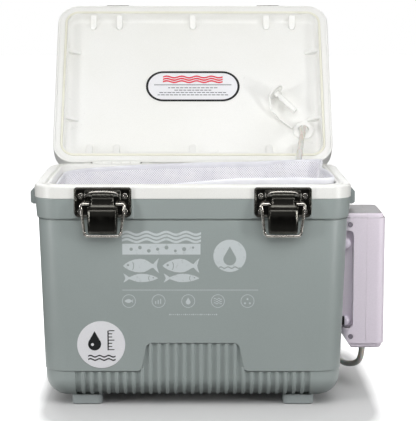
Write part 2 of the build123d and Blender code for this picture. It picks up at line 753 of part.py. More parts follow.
# ---------------------------------------------------------------- net bag with its hem
net_outer = tub_opening(net_gap, 8.0)
net_inner = tub_opening(net_gap + net_sheet, 8.0)
# the bag's mouth stands a little above the rim at the back and just below it at the front
mouth = side_profile([(-200, rim_top - 5), (200, rim_top + 5), (200, rim_top + 60), (-200, rim_top + 60)],
                     -200, 200)
hem_zone = side_profile([(-200, rim_top - 15), (200, rim_top - 5), (200, rim_top + 60), (-200, rim_top + 60)],
                        -200, 200)
bag = net_outer - net_inner - mouth
parts["net_bag"] = [bag - hem_zone]
parts["net_hem"] = [bag & hem_zone]

# ---------------------------------------------------------------- air pump
pump_half = pump_width / 2


def pump_form(inset):
    # the pump case with stepped ends and a bevel towards the box at the bottom, shrunk by the inset
    x0, x1 = pump_back + inset, pump_front - inset
    half = pump_half - inset
    z0, z1 = pump_bottom + inset, pump_top - inset
    corner = pump_corner - min(inset, 4)
    middle = block(x0, x1, -half, half, pump_bottom + pump_step_height, pump_top - pump_step_height)
    middle = fillet(upright_edges(middle), corner)
    core = block(x0 + pump_step, x1 - pump_step, -half + pump_step, half - pump_step, z0, z1)
    core = fillet(upright_edges(core), corner - pump_step)
    core = fillet(core.faces().sort_by(Axis.Z)[-1].edges(), pump_top_round)
    core = fillet(core.faces().sort_by(Axis.Z)[0].edges(), pump_top_round)
    slant = pump_slant - inset * 0.5
    bevel = make_face(Plane.XZ * Polyline((x0 - 1, z0 - 1), (x0 + slant * 0.75, z0 - 1),
                                          (x0 - 1, z0 + slant * 1.15), close=True))
    return middle + core - extrude(bevel, 60, both=True)


case = pump_form(0) - pump_form(pump_wall)
split_gap = 0.05
inside_of_split = block(pump_back - 5, pump_split - split_gap, -60, 60, pump_bottom - 5, pump_top + 5)
outside_of_split = block(pump_split, pump_front + 5, -60, 60, pump_bottom - 5, pump_top + 5)
rebate_cuts = []
rebate_walls = []
for sy in (-1, 1):
    y0, y1 = sorted((sy * (pump_half - pump_rebate_depth), sy * (pump_half + 1)))
    z0, z1 = pump_bottom + pump_rebate_low, pump_bottom + pump_rebate_high
    cut = block(pump_back - 1, pump_back + pump_rebate, y0, y1, z0, z1)
    wall_y0, wall_y1 = sorted((sy * (pump_half - pump_rebate_depth - pump_wall), sy * (pump_half - 0.8)))
    wall = block(pump_back, pump_back + pump_rebate + pump_wall, wall_y0, wall_y1,
                 z0 - pump_wall, z1 + pump_wall)
    rebate_cuts.append(fillet(cut.edges().filter_by(Axis.Y), pump_rebate_corner))
    rebate_walls.append(wall & pump_form(0.4))
back_shell = (case & inside_of_split) + rebate_walls
for cut in rebate_cuts:
    back_shell -= cut

front_shell = case & outside_of_split
door_y0 = cell_y - door_width / 2
door_y1 = cell_y + door_width / 2
door_z0 = pump_bottom + (pump_height - door_height) / 2
door_z1 = door_z0 + door_height
front_shell -= block(pump_front - pump_wall - 1, pump_front + 1, door_y0, door_y1, door_z0, door_z1)
# ledge that the door closes on
ledge = (block(pump_front - door_thickness - 1.9, pump_front - door_thickness - 0.1, door_y0 - 2, door_y1 + 2,
               door_z0 - 2, door_z1 + 2)
         - block(pump_front - 9, pump_front, cell_y - cell_radius - 0.4, cell_y + cell_radius + 0.4,
                 door_z0 + 2.5, door_z1 - 2.5))
front_shell += ledge
door = block(pump_front - door_thickness, pump_front, door_y0 + loose_gap, door_y1 - loose_gap,
             door_z0 + loose_gap, door_z1 - loose_gap)
door = fillet(door.edges().filter_by(Axis.X), 1.5)
# the door turns on two pins in line with its round hinge edge
door_axis_x = pump_front - door_barrel_radius
door_axis_y = door_y1 - loose_gap - door_barrel_radius


def door_rod(radius, below, above):
    return rod((door_axis_x, door_axis_y, door_z0 - below), (door_axis_x, door_axis_y, door_z1 + above), radius)


door -= block(door_axis_x, pump_front + 1, door_axis_y, door_y1, door_z0, door_z1)
door += door_rod(door_barrel_radius, -loose_gap, -loose_gap)
door += door_rod(door_pin_radius, door_pin_reach, door_pin_reach)
front_shell -= door_rod(door_barrel_radius + loose_gap, 0, 0)
front_shell -= door_rod(door_pin_radius + running_gap, door_pin_reach + loose_gap, door_pin_reach + loose_gap)
for n in range(4):
    grip_z = door_z1 - 14 - 3 * n
    door -= rod((pump_front + 0.6, cell_y - 8, grip_z), (pump_front + 0.6, cell_y + 8, grip_z), 1.1)
parts["battery_door"] = [door]

cells = []
cell_x = pump_split
cell_low = door_z0 + 3.3
for n in range(2):
    z0 = cell_low + n * (cell_length + 0.1)
    cell = rod((cell_x, cell_y, z0), (cell_x, cell_y, z0 + cell_length - 1.5), cell_radius)
    cell = fillet(cell.edges(), 0.8)
    cells.append(cell + rod((cell_x, cell_y, z0 + cell_length - 1.6), (cell_x, cell_y, z0 + cell_length), 4.5))
parts["battery_cells"] = cells
case_floor = pump_bottom + pump_wall
case_roof = pump_top - pump_wall
cell_high = cell_low + 2 * cell_length + 0.1
contact_low = rod((cell_x, cell_y, case_floor), (cell_x, cell_y, cell_low), 7.8)
contact_low -= rod((cell_x, cell_y, case_floor + 0.8), (cell_x, cell_y, cell_low + 1), 6.4)
contact_high = rod((cell_x, cell_y, cell_high), (cell_x, cell_y, case_roof), 6.0)
parts["battery_contacts"] = [contact_low, contact_high]

head_low = pump_bottom + pump_wall
head_high = head_low + 34
pump_head = block(pump_center_x - 7, pump_center_x + 14.5, motor_y - 8.6, motor_y + 12, head_low, head_high)
pump_head = fillet(upright_edges(pump_head), 3.6)
motor = rod((pump_center_x + 2, motor_y - 1, head_high), (pump_center_x + 2, motor_y - 1, head_high + motor_length),
            motor_radius - 1.5)
motor = fillet(motor.edges(), 1.0)
motor += rod((pump_center_x + 2, motor_y - 1, head_high + motor_length),
             (pump_center_x + 2, motor_y - 1, head_high + motor_length + 3), 3.0)
parts["pump_head"] = [pump_head]
parts["pump_motor"] = [motor]

# nozzle at the bottom, where the airline pushes on
nozzle_x, nozzle_y = pump_split, -3.0
nozzle_end = pump_bottom - 5.0
nozzle_hole = rod((nozzle_x, nozzle_y, pump_bottom - 1), (nozzle_x, nozzle_y, head_low + 1), 4.2)
back_shell -= nozzle_hole
front_shell -= nozzle_hole
nozzle = rod((nozzle_x, nozzle_y, nozzle_end), (nozzle_x, nozzle_y, head_low + 6), 4.1)
nozzle += rod((nozzle_x, nozzle_y, nozzle_end), (nozzle_x, nozzle_y, pump_bottom - 0.1), 5.2)
nozzle = nozzle - parts["pump_head"][0]
parts["hose_nozzle"] = [max(nozzle.solids(), key=lambda s: s.volume)]

# slide switch on the pump's rear side wall
switch_x = pump_back + 30.4
switch_z = pump_top - 34.0
front_shell -= block(switch_x - 2.6, switch_x + 2.6, pump_half - 6, pump_half + 1,
                     switch_z - 3.6, switch_z + switch_travel + 3.6)
switch_frame = block(switch_x - 4.4, switch_x + 4.4, pump_half, pump_half + 1.0,
                     switch_z - 5.4, switch_z + switch_travel + 5.4)
switch_frame = fillet(switch_frame.edges().filter_by(Axis.Y), 1.5)
switch_frame -= block(switch_x - 2.3, switch_x + 2.3, pump_half - 1, pump_half + 2,
                      switch_z - 3.3, switch_z + switch_travel + 3.3)
slider = block(switch_x - 2.0, switch_x + 2.0, pump_half - 3.5, pump_half + 3.2, switch_z - 3.0, switch_z + 3.0)
slider = fillet(slider.faces().sort_by(Axis.Y)[-1].edges(), 0.8)
switch_body = block(switch_x - 4.0, switch_x + 4.0, pump_half - 6.8, pump_half - 3.8,
                    switch_z - 4.5, switch_z + switch_travel + 4.5)
parts["switch_frame"] = [switch_frame]
parts["switch_slider"] = [slider]
parts["switch_body"] = [switch_body]

# half-round bumpers in the rebates, with rubber pads that bear on the box
bumpers = []
pads = []
for sy in (-1, 1):
    for level in (bumper_low, bumper_high):
        z = pump_bottom + level
        seat = pump_half - pump_rebate_depth
        flat_x = pump_back + 2.4
        bumper = rod((flat_x, sy * seat, z), (flat_x, sy * (seat + 8.5), z), bumper_radius)
        tip = bumper.faces().sort_by(Axis.Y)[-1 if sy > 0 else 0]
        bumper = fillet(tip.edges(), 4.2)
        bumper -= block(flat_x - 20, flat_x, -60, 60, z - 20, z + 20)
        bumpers.append(bumper)
        wall_x_here = wall_half(z)
        pad_y0, pad_y1 = sorted((sy * (seat + 0.6), sy * (seat + 7.2)))
        pad = block(wall_x_here + 0.15, flat_x, pad_y0, pad_y1, z - 4.2, z + 4.2)
        pads.append(fillet(pad.edges().filter_by(Axis.X), 1.2))
parts["pump_bumpers"] = bumpers
parts["bumper_pads"] = pads

# wall bracket: a wedge plate with two mushroom studs, and keyholes in the pump's back
bracket_low = pump_bottom + 14.0
bracket_high = pump_bottom + 86.0
plate_x = pump_back - loose_gap
wedge_line = [(wall_half(bracket_low) + 0.02, bracket_low), (plate_x, bracket_low), (plate_x, bracket_high),
              (wall_half(bracket_high) + 0.02, bracket_high)]
bracket = extrude(make_face(Plane.XZ * Polyline(*wedge_line, close=True)), 15, both=True)
bracket = fillet(bracket.edges().filter_by(Axis.X), 3.0)
wall_screw_points = []
for level in (21.0, 48.5):
    z = pump_bottom + level
    for y in (-8.0, 8.0):
        wall_screw_points.append((plate_x - 1.3, y, z))
for level in (stud_low, stud_high):
    z = pump_bottom + level
    inner = pump_back + pump_wall + loose_gap
    bracket += rod((plate_x - 0.5, 0, z), (inner + 0.1, 0, z), stud_neck)
    bracket += rod((inner, 0, z), (inner + 2.0, 0, z), stud_head)
    keyhole = rod((pump_back - 1, 0, z), (pump_back + pump_wall + 1, 0, z), stud_neck + 0.3)
    keyhole += rod((pump_back - 1, 0, z - 6.3), (pump_back + pump_wall + 1, 0, z - 6.3), stud_head + 0.3)
    keyhole += block(pump_back - 1, pump_back + pump_wall + 1, -stud_neck - 0.3, stud_neck + 0.3, z - 6.3, z)
    back_shell -= keyhole
wall_screws = []
for at in wall_screw_points:
    hole = rod((at[0] - 9, at[1], at[2]), (at[0] + 3, at[1], at[2]), screw_shank + 0.1)
    sink = rod((at[0], at[1], at[2]), (at[0] + 3, at[1], at[2]), screw_head + 0.1)
    bracket = bracket - hole - sink
    outer_body -= hole
    wall_screws.append(rod((at[0] - 6.5, at[1], at[2]), (at[0] + 0.2, at[1], at[2]), screw_shank)
                       + rod((at[0], at[1], at[2]), (at[0] + 1.2, at[1], at[2]), screw_head))
parts["pump_bracket"] = [bracket]
parts["pump_bracket_screws"] = wall_screws

# side screws, in sunk holes of the back shell, hold the front shell by tongues behind the side walls
shell_screws = []
tongue_out = pump_half - pump_wall - 1.0
for sy in (-1, 1):
    for z, shell_screw_x in ((pump_bottom + 12.2, pump_back + 8.8), (pump_top - 11.9, pump_back + 7.0)):
        y0, y1 = sorted((sy * (tongue_out - 2.4), sy * tongue_out))
        tongue = block(shell_screw_x - 2.0, pump_split + 4, y0, y1, z - 2.6, z + 2.6)
        root_y0, root_y1 = sorted((sy * (tongue_out - 2.4), sy * (pump_half - 1)))
        tongue += block(pump_split, pump_split + 4, root_y0, root_y1, z - 2.6, z + 2.6)
        seat = (shell_screw_x, sy * (pump_half - 1.2), z)
        tip = (shell_screw_x, sy * (tongue_out - 2.0), z)
        mouth_at = (shell_screw_x, sy * (pump_half + 1), z)
        inside = (shell_screw_x, sy * (tongue_out - 4), z)
        back_shell = back_shell - rod(seat, mouth_at, 2.7) - rod(inside, mouth_at, 1.3)
        front_shell = front_shell + tongue - rod(inside, mouth_at, 1.3)
        head_top = (shell_screw_x, sy * (pump_half - 0.3), z)
        shell_screws.append(rod(tip, seat, 1.2) + rod(seat, head_top, 2.4))
parts["pump_shell_screws"] = shell_screws
parts["pump_back_shell"] = [back_shell]
parts["pump_front_shell"] = [front_shell]

parts["outer_body"] = [outer_body]
parts["inner_liner"] = [liner]
parts["wall_insulation"] = [foam]

# ---------------------------------------------------------------- airline
# runs lie along hand-chosen points; each bend is as large as its two runs allow
def lid_point(x, y, z):
    return swing_lid(Pos(x, y, z) * Vertex(0, 0, 0)).center()


port_out = lid_point(port_x, port_y, outer_face + 0.05)
port_out_lead = lid_point(port_x, port_y, outer_face + 17.0)
port_in = lid_point(port_x, port_y, flange_face - 0.05)
port_in_lead = lid_point(port_x, port_y, flange_face - 10.0)
outer_route = [
    (nozzle_x, nozzle_y, nozzle_end), (nozzle_x, nozzle_y, 30.5), (171.5, 8.0, 20.5), (161.0, 28.0, 16.0),
    (157.0, 58.0, 16.5), (157.5, 91.0, 22.0), (151.5, 122.0, 38.0), (140.0, 136.0, 70.0),
    (131.0, 143.0, 112.0), (125.0, 152.0, 152.0), (122.5, 166.0, 188.0), (123.0, 181.5, 215.0),
    tuple(port_out_lead), tuple(port_out)]
inner_route = [
    tuple(port_in), tuple(port_in_lead), (121.0, 117.5, 252.0),
    (117.0, 94.0, 239.5), (114.0, 79.3, 223.5), (110.0, 70.5, 194.0), (104.5, 61.5, 154.0),
    (99.0, 53.0, 113.0), (94.0, 46.0, 75.0)]


def bend_radii(route):
    radii = []
    for before, at, after in zip(route, route[1:], route[2:]):
        first = Vector(*at) - Vector(*before)
        second = Vector(*after) - Vector(*at)
        turn = math.radians(first.get_angle(second))
        radii.append(0.45 * min(first.length, second.length) / math.tan(turn / 2))
    return radii


def hose(name, route):
    radii = bend_radii(route)
    path = FilletPolyline(*route, radius=radii)
    tube = sweep(Plane(origin=path @ 0, z_dir=path % 0) * Circle(hose_radius), path=path)
    expected = math.pi * hose_radius ** 2 * path.length
    print(name, "length %.0f" % path.length, "volume share %.4f" % (tube.volume / expected))
    print("  radii", " ".join("%.0f" % r for r in radii))
    print("  runs", " ".join("%.0f" % (Vector(*b) - Vector(*a)).length for a, b in zip(route, route[1:])))
    return tube


parts["air_hose_outer"] = [hose("outer hose", outer_route)]
parts["air_hose_inner"] = [hose("inner hose", inner_route)]
stone_top = inner_route[-1]
stone_x, stone_y, stone_z = stone_top
stone = rod((stone_x, stone_y, stone_z - 30), (stone_x, stone_y, stone_z - 3), 7.0)
stone = fillet(stone.edges(), 2.0)
stone += rod((stone_x, stone_y, stone_z - 3.5), (stone_x, stone_y, stone_z - 0.8), 3.4)
parts["air_stone"] = [stone]
cord_nodes = ("air_hose_outer", "air_hose_inner", "air_stone")

# ---------------------------------------------------------------- origin and files
low = Vector(1e9, 1e9, 1e9)
high = Vector(-1e9, -1e9, -1e9)
for name, solids in parts.items():
    if name in cord_nodes:
        continue
    for solid in solids:
        box = solid.bounding_box()
        low = Vector(min(low.X, box.min.X), min(low.Y, box.min.Y), min(low.Z, box.min.Z))
        high = Vector(max(high.X, box.max.X), max(high.Y, box.max.Y), max(high.Z, box.max.Z))
shift = Pos(-(low.X + high.X) / 2, -(low.Y + high.Y) / 2, -low.Z)
print("box size", high - low, "shift", shift.position)

os.makedirs("parts", exist_ok=True)
for name, solids in parts.items():
    bodies = [s for shape in solids for s in (shift * shape).solids()]
    export_step(Compound(children=bodies), "parts/" + name + ".step")
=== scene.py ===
# Looks for the bait cooler: finishes on the moulded parts, airline, net bag, latch levers and generic prints.
import json
import math

import bpy
from mathutils import Matrix, Vector, noise
from mathutils.geometry import tessellate_polygon


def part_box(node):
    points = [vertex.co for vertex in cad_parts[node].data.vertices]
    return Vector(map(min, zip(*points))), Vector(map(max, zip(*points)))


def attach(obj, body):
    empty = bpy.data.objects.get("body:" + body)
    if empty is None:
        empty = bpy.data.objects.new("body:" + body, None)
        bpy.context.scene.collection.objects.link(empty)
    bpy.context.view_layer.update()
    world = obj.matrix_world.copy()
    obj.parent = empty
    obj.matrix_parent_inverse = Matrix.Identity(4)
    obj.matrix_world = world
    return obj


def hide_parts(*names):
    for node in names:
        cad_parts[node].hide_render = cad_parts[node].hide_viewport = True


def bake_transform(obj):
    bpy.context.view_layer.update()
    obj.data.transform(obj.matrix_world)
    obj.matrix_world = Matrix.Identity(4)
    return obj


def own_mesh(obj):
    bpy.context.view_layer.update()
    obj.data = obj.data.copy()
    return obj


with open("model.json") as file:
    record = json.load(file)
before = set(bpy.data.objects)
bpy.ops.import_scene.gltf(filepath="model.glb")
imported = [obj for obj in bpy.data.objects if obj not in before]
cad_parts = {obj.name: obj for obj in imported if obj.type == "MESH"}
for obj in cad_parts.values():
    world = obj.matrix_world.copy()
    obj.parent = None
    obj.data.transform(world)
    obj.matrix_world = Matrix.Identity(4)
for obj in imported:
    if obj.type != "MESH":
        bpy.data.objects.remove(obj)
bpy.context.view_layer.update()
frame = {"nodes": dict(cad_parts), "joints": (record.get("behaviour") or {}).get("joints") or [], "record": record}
print("frame loaded:", len(frame["nodes"]), "nodes")

# sizes below are millimetres from the cooler's centre line, with z up from the floor
linerLow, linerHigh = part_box("inner_liner")
coolerCenter = Vector(((linerLow.x + linerHigh.x) / 2, (linerLow.y + linerHigh.y) / 2, 0))
jointAt = {joint["name"]: joint for joint in frame["joints"]}
hingeAt = Vector(jointAt["lid_hinge"]["pos_m"])
lidOpened = math.radians(jointAt["lid_hinge"]["range_deg"][1])
lidSwing = Matrix.Translation(hingeAt) @ Matrix.Rotation(-lidOpened, 4, "X") @ Matrix.Translation(-hingeAt)


def spot(x, y, z):
    return coolerCenter + Vector((x, y, z)) / 1000


def lidSpot(x, y, z):
    # a place on the shut lid, carried to where the open lid holds it
    return lidSwing @ spot(x, y, z)


def paint(red, green, blue):
    def linear(value):
        share = value / 255
        return share / 12.92 if share <= 0.04045 else ((share + 0.055) / 1.055) ** 2.4
    return (linear(red), linear(green), linear(blue), 1.0)


def smooth(share):
    share = min(max(share, 0.0), 1.0)
    return share * share * (3 - 2 * share)


def ramp(value, start, run):
    return smooth((value - start) / run)


def between(table, at):
    # straight-line reading of a short table of (place, value) pairs
    if at <= table[0][0]:
        return table[0][1]
    for (x0, v0), (x1, v1) in zip(table, table[1:]):
        if at <= x1:
            return v0 + (v1 - v0) * (at - x0) / (x1 - x0)
    return table[-1][1]


# ---- camera
view = {"at": (0.0, -1566.0, 402.5), "down": 7.93, "lens": 130.75, "shiftX": 0.0361}
camera = bpy.data.objects.new("viewCamera", bpy.data.cameras.new("viewCamera"))
bpy.context.scene.collection.objects.link(camera)
camera.location = spot(*view["at"])
camera.rotation_euler = (math.radians(90 - view["down"]), 0, 0)
camera.data.lens = view["lens"]
camera.data.sensor_width = 36
camera.data.sensor_fit = "AUTO"
camera.data.shift_x = view["shiftX"]
camera.data.clip_end = 100
bpy.context.scene.camera = camera


# ---- node groups that several finishes share
def startGroup(name, inputs, outputs):
    group = bpy.data.node_groups.new(name, "ShaderNodeTree")
    for label, kind, value in inputs:
        socket = group.interface.new_socket(name=label, in_out="INPUT", socket_type="NodeSocket" + kind)
        socket.default_value = value
    for label, kind in outputs:
        group.interface.new_socket(name=label, in_out="OUTPUT", socket_type="NodeSocket" + kind)
    return group, group.nodes.new("NodeGroupInput").outputs, group.nodes.new("NodeGroupOutput").inputs


def addNode(tree, kind, links=(), **values):
    # values are attributes when the node has them, and links pair an input with what feeds it
    node = tree.nodes.new("ShaderNode" + kind)
    for key, value in values.items():
        setattr(node, key, value)
    for key, source in links:
        if isinstance(source, bpy.types.NodeSocket):
            tree.links.new(source, node.inputs[key])
        else:
            node.inputs[key].default_value = source
    return node


def mathNode(tree, operation, first, second=0.0, clamp=False):
    return addNode(tree, "Math", ((0, first), (1, second)), operation=operation, use_clamp=clamp).outputs[0]


def mixColors(tree, share, first, second, blend="MIX"):
    links = (("Factor", share), ("A", first), ("B", second))
    node = tree.nodes.new("ShaderNodeMix")
    node.data_type = "RGBA"
    node.blend_type = blend
    for (label, source), slot in zip(links, (node.inputs[0], node.inputs[6], node.inputs[7])):
        if isinstance(source, bpy.types.NodeSocket):
            tree.links.new(source, slot)
        else:
            slot.default_value = source
    return node.outputs[2]


def spread(tree, value, fromLow, fromHigh, toLow=0.0, toHigh=1.0):
    links = (("Value", value), ("From Min", fromLow), ("From Max", fromHigh),
             ("To Min", toLow), ("To Max", toHigh))
    return addNode(tree, "MapRange", links).outputs[0]


def ownPlace(tree):
    return addNode(tree, "TexCoord").outputs["Object"]


def cloudNode(tree, where, scale, detail, roughness=0.5):
    links = (("Vector", where), ("Scale", scale), ("Detail", detail), ("Roughness", roughness))
    return addNode(tree, "TexNoise", links).outputs[0]


def makeMouldedSkin():
    # moulded plastic: slow colour drift, fine spark texture and a roughness that follows both
    group, given, out = startGroup(
        "mouldedSkin",
        [("Base", "Color", (0.5, 0.5, 0.5, 1)), ("Drift", "Color", (0.4, 0.4, 0.4, 1)),
         ("Drift Scale", "Float", 9.0), ("Grain Scale", "Float", 1300.0), ("Roughness", "Float", 0.4)],
        [("Color", "Color"), ("Roughness", "Float"), ("Height", "Float")])
    where = ownPlace(group)
    slow = cloudNode(group, where, given["Drift Scale"], 3.0)
    speck = cloudNode(group, where, given["Grain Scale"], 2.0, 0.6)
    flow = cloudNode(group, where, 60.0, 2.0)
    drift = spread(group, slow, 0.35, 0.68)
    tinted = mixColors(group, drift, given["Base"], given["Drift"])
    fleck = spread(group, speck, 0.3, 0.7, 0.965, 1.03)
    group.links.new(mixColors(group, 1.0, tinted, fleck, "MULTIPLY"), out["Color"])
    rough = mathNode(group, "ADD", given["Roughness"], spread(group, flow, 0.3, 0.7, -0.05, 0.06))
    rough = mathNode(group, "ADD", rough, spread(group, slow, 0.3, 0.7, -0.03, 0.03), True)
    group.links.new(rough, out["Roughness"])
    group.links.new(mathNode(group, "ADD", speck, mathNode(group, "MULTIPLY", flow, 0.35)), out["Height"])
    return group


def makeEdgeWear():
    # mask of rubbed outer edges, broken up so that no edge is worn evenly
    group, given, out = startGroup(
        "edgeWear", [("Radius", "Float", 0.0012), ("Amount", "Float", 0.5)], [("Mask", "Float")])
    rounded = addNode(group, "Bevel", (("Radius", given["Radius"]),), samples=4).outputs[0]
    facing = addNode(group, "NewGeometry").outputs["Normal"]
    alike = addNode(group, "VectorMath", ((0, rounded), (1, facing)), operation="DOT_PRODUCT")
    turned = spread(group, alike.outputs["Value"], 0.992, 0.86)
    patch = cloudNode(group, ownPlace(group), 110.0, 4.0)
    broken = mathNode(group, "MULTIPLY", turned, spread(group, patch, 0.4, 0.62, 0.15, 1.0))
    group.links.new(mathNode(group, "MULTIPLY", broken, given["Amount"], True), out["Mask"])
    return group


def makeSettledDust():
    # mask of faint dust on what faces up
    group, given, out = startGroup("settledDust", [("Amount", "Float", 0.2)], [("Mask", "Float")])
    coordinates = addNode(group, "TexCoord")
    up = addNode(group, "SeparateXYZ", ((0, coordinates.outputs["Normal"]),)).outputs["Z"]
    patch = cloudNode(group, coordinates.outputs["Object"], 34.0, 5.0, 0.65)
    cloud = mathNode(group, "MULTIPLY", spread(group, up, 0.45, 1.0), spread(group, patch, 0.42, 0.72))
    group.links.new(mathNode(group, "MULTIPLY", cloud, given["Amount"], True), out["Mask"])
    return group


def makeWovenNet():
    # crossed threads from the cloth's own lengths: cover, and height for the bump
    group, given, out = startGroup(
        "wovenNet", [("Cell", "Float", 0.0024), ("Thread", "Float", 0.5)],
        [("Cover", "Float"), ("Height", "Float")])
    along = addNode(group, "UVMap").outputs[0]
    parts = addNode(group, "SeparateXYZ", ((0, along),))
    sumUp = mathNode(group, "ADD", parts.outputs["X"], parts.outputs["Y"])
    less = mathNode(group, "SUBTRACT", parts.outputs["X"], parts.outputs["Y"])
    heights = []
    for direction in (sumUp, less):
        cellShare = mathNode(group, "FRACT", mathNode(group, "DIVIDE", direction, given["Cell"]))
        heights.append(mathNode(group, "ABSOLUTE", mathNode(group, "SUBTRACT", cellShare, 0.5)))
    near = mathNode(group, "MAXIMUM", heights[0], heights[1])
    edge = mathNode(group, "MULTIPLY", given["Thread"], 0.5)
    start = mathNode(group, "SUBTRACT", 0.5, edge)
    group.links.new(spread(group, near, mathNode(group, "SUBTRACT", start, 0.04), start), out["Cover"])
    group.links.new(near, out["Height"])
    return group


def makeDrawnMetal():
    # plated or drawn metal: streaks along one direction, with small scuffs
    group, given, out = startGroup(
        "drawnMetal",
        [("Base", "Color", (0.6, 0.6, 0.6, 1)), ("Roughness", "Float", 0.25)],
        [("Color", "Color"), ("Roughness", "Float"), ("Height", "Float")])
    where = ownPlace(group)
    stretched = addNode(group, "Mapping", (("Vector", where), ("Scale", (1.0, 1.0, 0.08)))).outputs[0]
    streak = cloudNode(group, stretched, 400.0, 3.0)
    scuff = cloudNode(group, where, 150.0, 5.0, 0.7)
    tone = mathNode(group, "MULTIPLY", spread(group, scuff, 0.35, 0.7, 1.05, 0.85),
                    spread(group, streak, 0.3, 0.7, 0.93, 1.05))
    group.links.new(mixColors(group, 1.0, given["Base"], tone, "MULTIPLY"), out["Color"])
    rough = mathNode(group, "ADD", given["Roughness"], spread(group, scuff, 0.4, 0.75, -0.04, 0.14))
    rough = mathNode(group, "ADD", rough, spread(group, streak, 0.3, 0.7, -0.03, 0.03), True)
    group.links.new(rough, out["Roughness"])
    group.links.new(streak, out["Height"])
    return group


groups = {"skin": makeMouldedSkin(), "wear": makeEdgeWear(), "dust": makeSettledDust(),
          "net": makeWovenNet(), "metal": makeDrawnMetal()}


def useGroup(tree, name, **inputs):
    node = tree.nodes.new("ShaderNodeGroup")
    node.node_tree = groups[name]
    for key, value in inputs.items():
        node.inputs[key].default_value = value
    return node.outputs


def startMaterial(name, **fixed):
    # fixed values stay on the shader's own sockets
    material = bpy.data.materials.new(name)
    material.use_nodes = True
    shader = material.node_tree.nodes["Principled BSDF"]
    for key, value in fixed.items():
        shader.inputs[key].default_value = value
    return material, material.node_tree, shader.inputs


def roundBump(tree, height, depth, radius):
    # bump over a small visual rounding of the model's sharp edges
    rounded = addNode(tree, "Bevel", (("Radius", radius),), samples=4).outputs[0]
    links = (("Strength", 1.0), ("Distance", depth), ("Height", height), ("Normal", rounded))
    return addNode(tree, "Bump", links).outputs[0]


# what a finish has when its own entry says nothing else
plasticDefault = {"fixed": {}, "driftScale": 9.0, "grainScale": 1300.0, "wear": 0.4, "wearRadius": 0.0012,
                  "dust": 0.12, "dustColor": paint(206, 203, 196), "dustRoughness": 0.3,
                  "depth": 0.00003, "soften": 0.0006}
metalDefault = {"wear": 0.5, "wearRadius": 0.0007, "depth": 0.000008, "soften": 0.0004}


def mouldedPlastic(name, own):
    look = {**plasticDefault, **own}
    material, tree, shader = startMaterial(name, **look["fixed"])
    skin = useGroup(tree, "skin", Base=look["base"], Drift=look["drift"], Roughness=look["roughness"],
                    **{"Drift Scale": look["driftScale"], "Grain Scale": look["grainScale"]})
    wear = useGroup(tree, "wear", Radius=look["wearRadius"], Amount=look["wear"])["Mask"]
    dust = useGroup(tree, "dust", Amount=look["dust"])["Mask"]
    worn = mixColors(tree, wear, skin["Color"], look.get("wornColor", look["base"]))
    # faces turned up take a darker colour here: painted shade on the top, not a second colour of plastic
    if "paintedTopShade" in look:
        up = addNode(tree, "SeparateXYZ", ((0, addNode(tree, "TexCoord").outputs["Normal"]),)).outputs["Z"]
        worn = mixColors(tree, spread(tree, up, 0.72, 0.95), worn, look["paintedTopShade"])
    tree.links.new(mixColors(tree, dust, worn, look["dustColor"]), shader["Base Color"])
    dulled = mathNode(tree, "MULTIPLY", dust, look["dustRoughness"])
    tree.links.new(mathNode(tree, "ADD", skin["Roughness"], dulled, True), shader["Roughness"])
    tree.links.new(roundBump(tree, skin["Height"], look["depth"], look["soften"]), shader["Normal"])
    return material


def platedMetal(name, own):
    look = {**metalDefault, **own}
    material, tree, shader = startMaterial(name, Metallic=1.0)
    metal = useGroup(tree, "metal", Base=look["base"], Roughness=look["roughness"])
    wear = useGroup(tree, "wear", Radius=look["wearRadius"], Amount=look["wear"])["Mask"]
    tree.links.new(mixColors(tree, wear, metal["Color"], look["wornColor"]), shader["Base Color"])
    tree.links.new(metal["Roughness"], shader["Roughness"])
    tree.links.new(roundBump(tree, metal["Height"], look["depth"], look["soften"]), shader["Normal"])
    return material


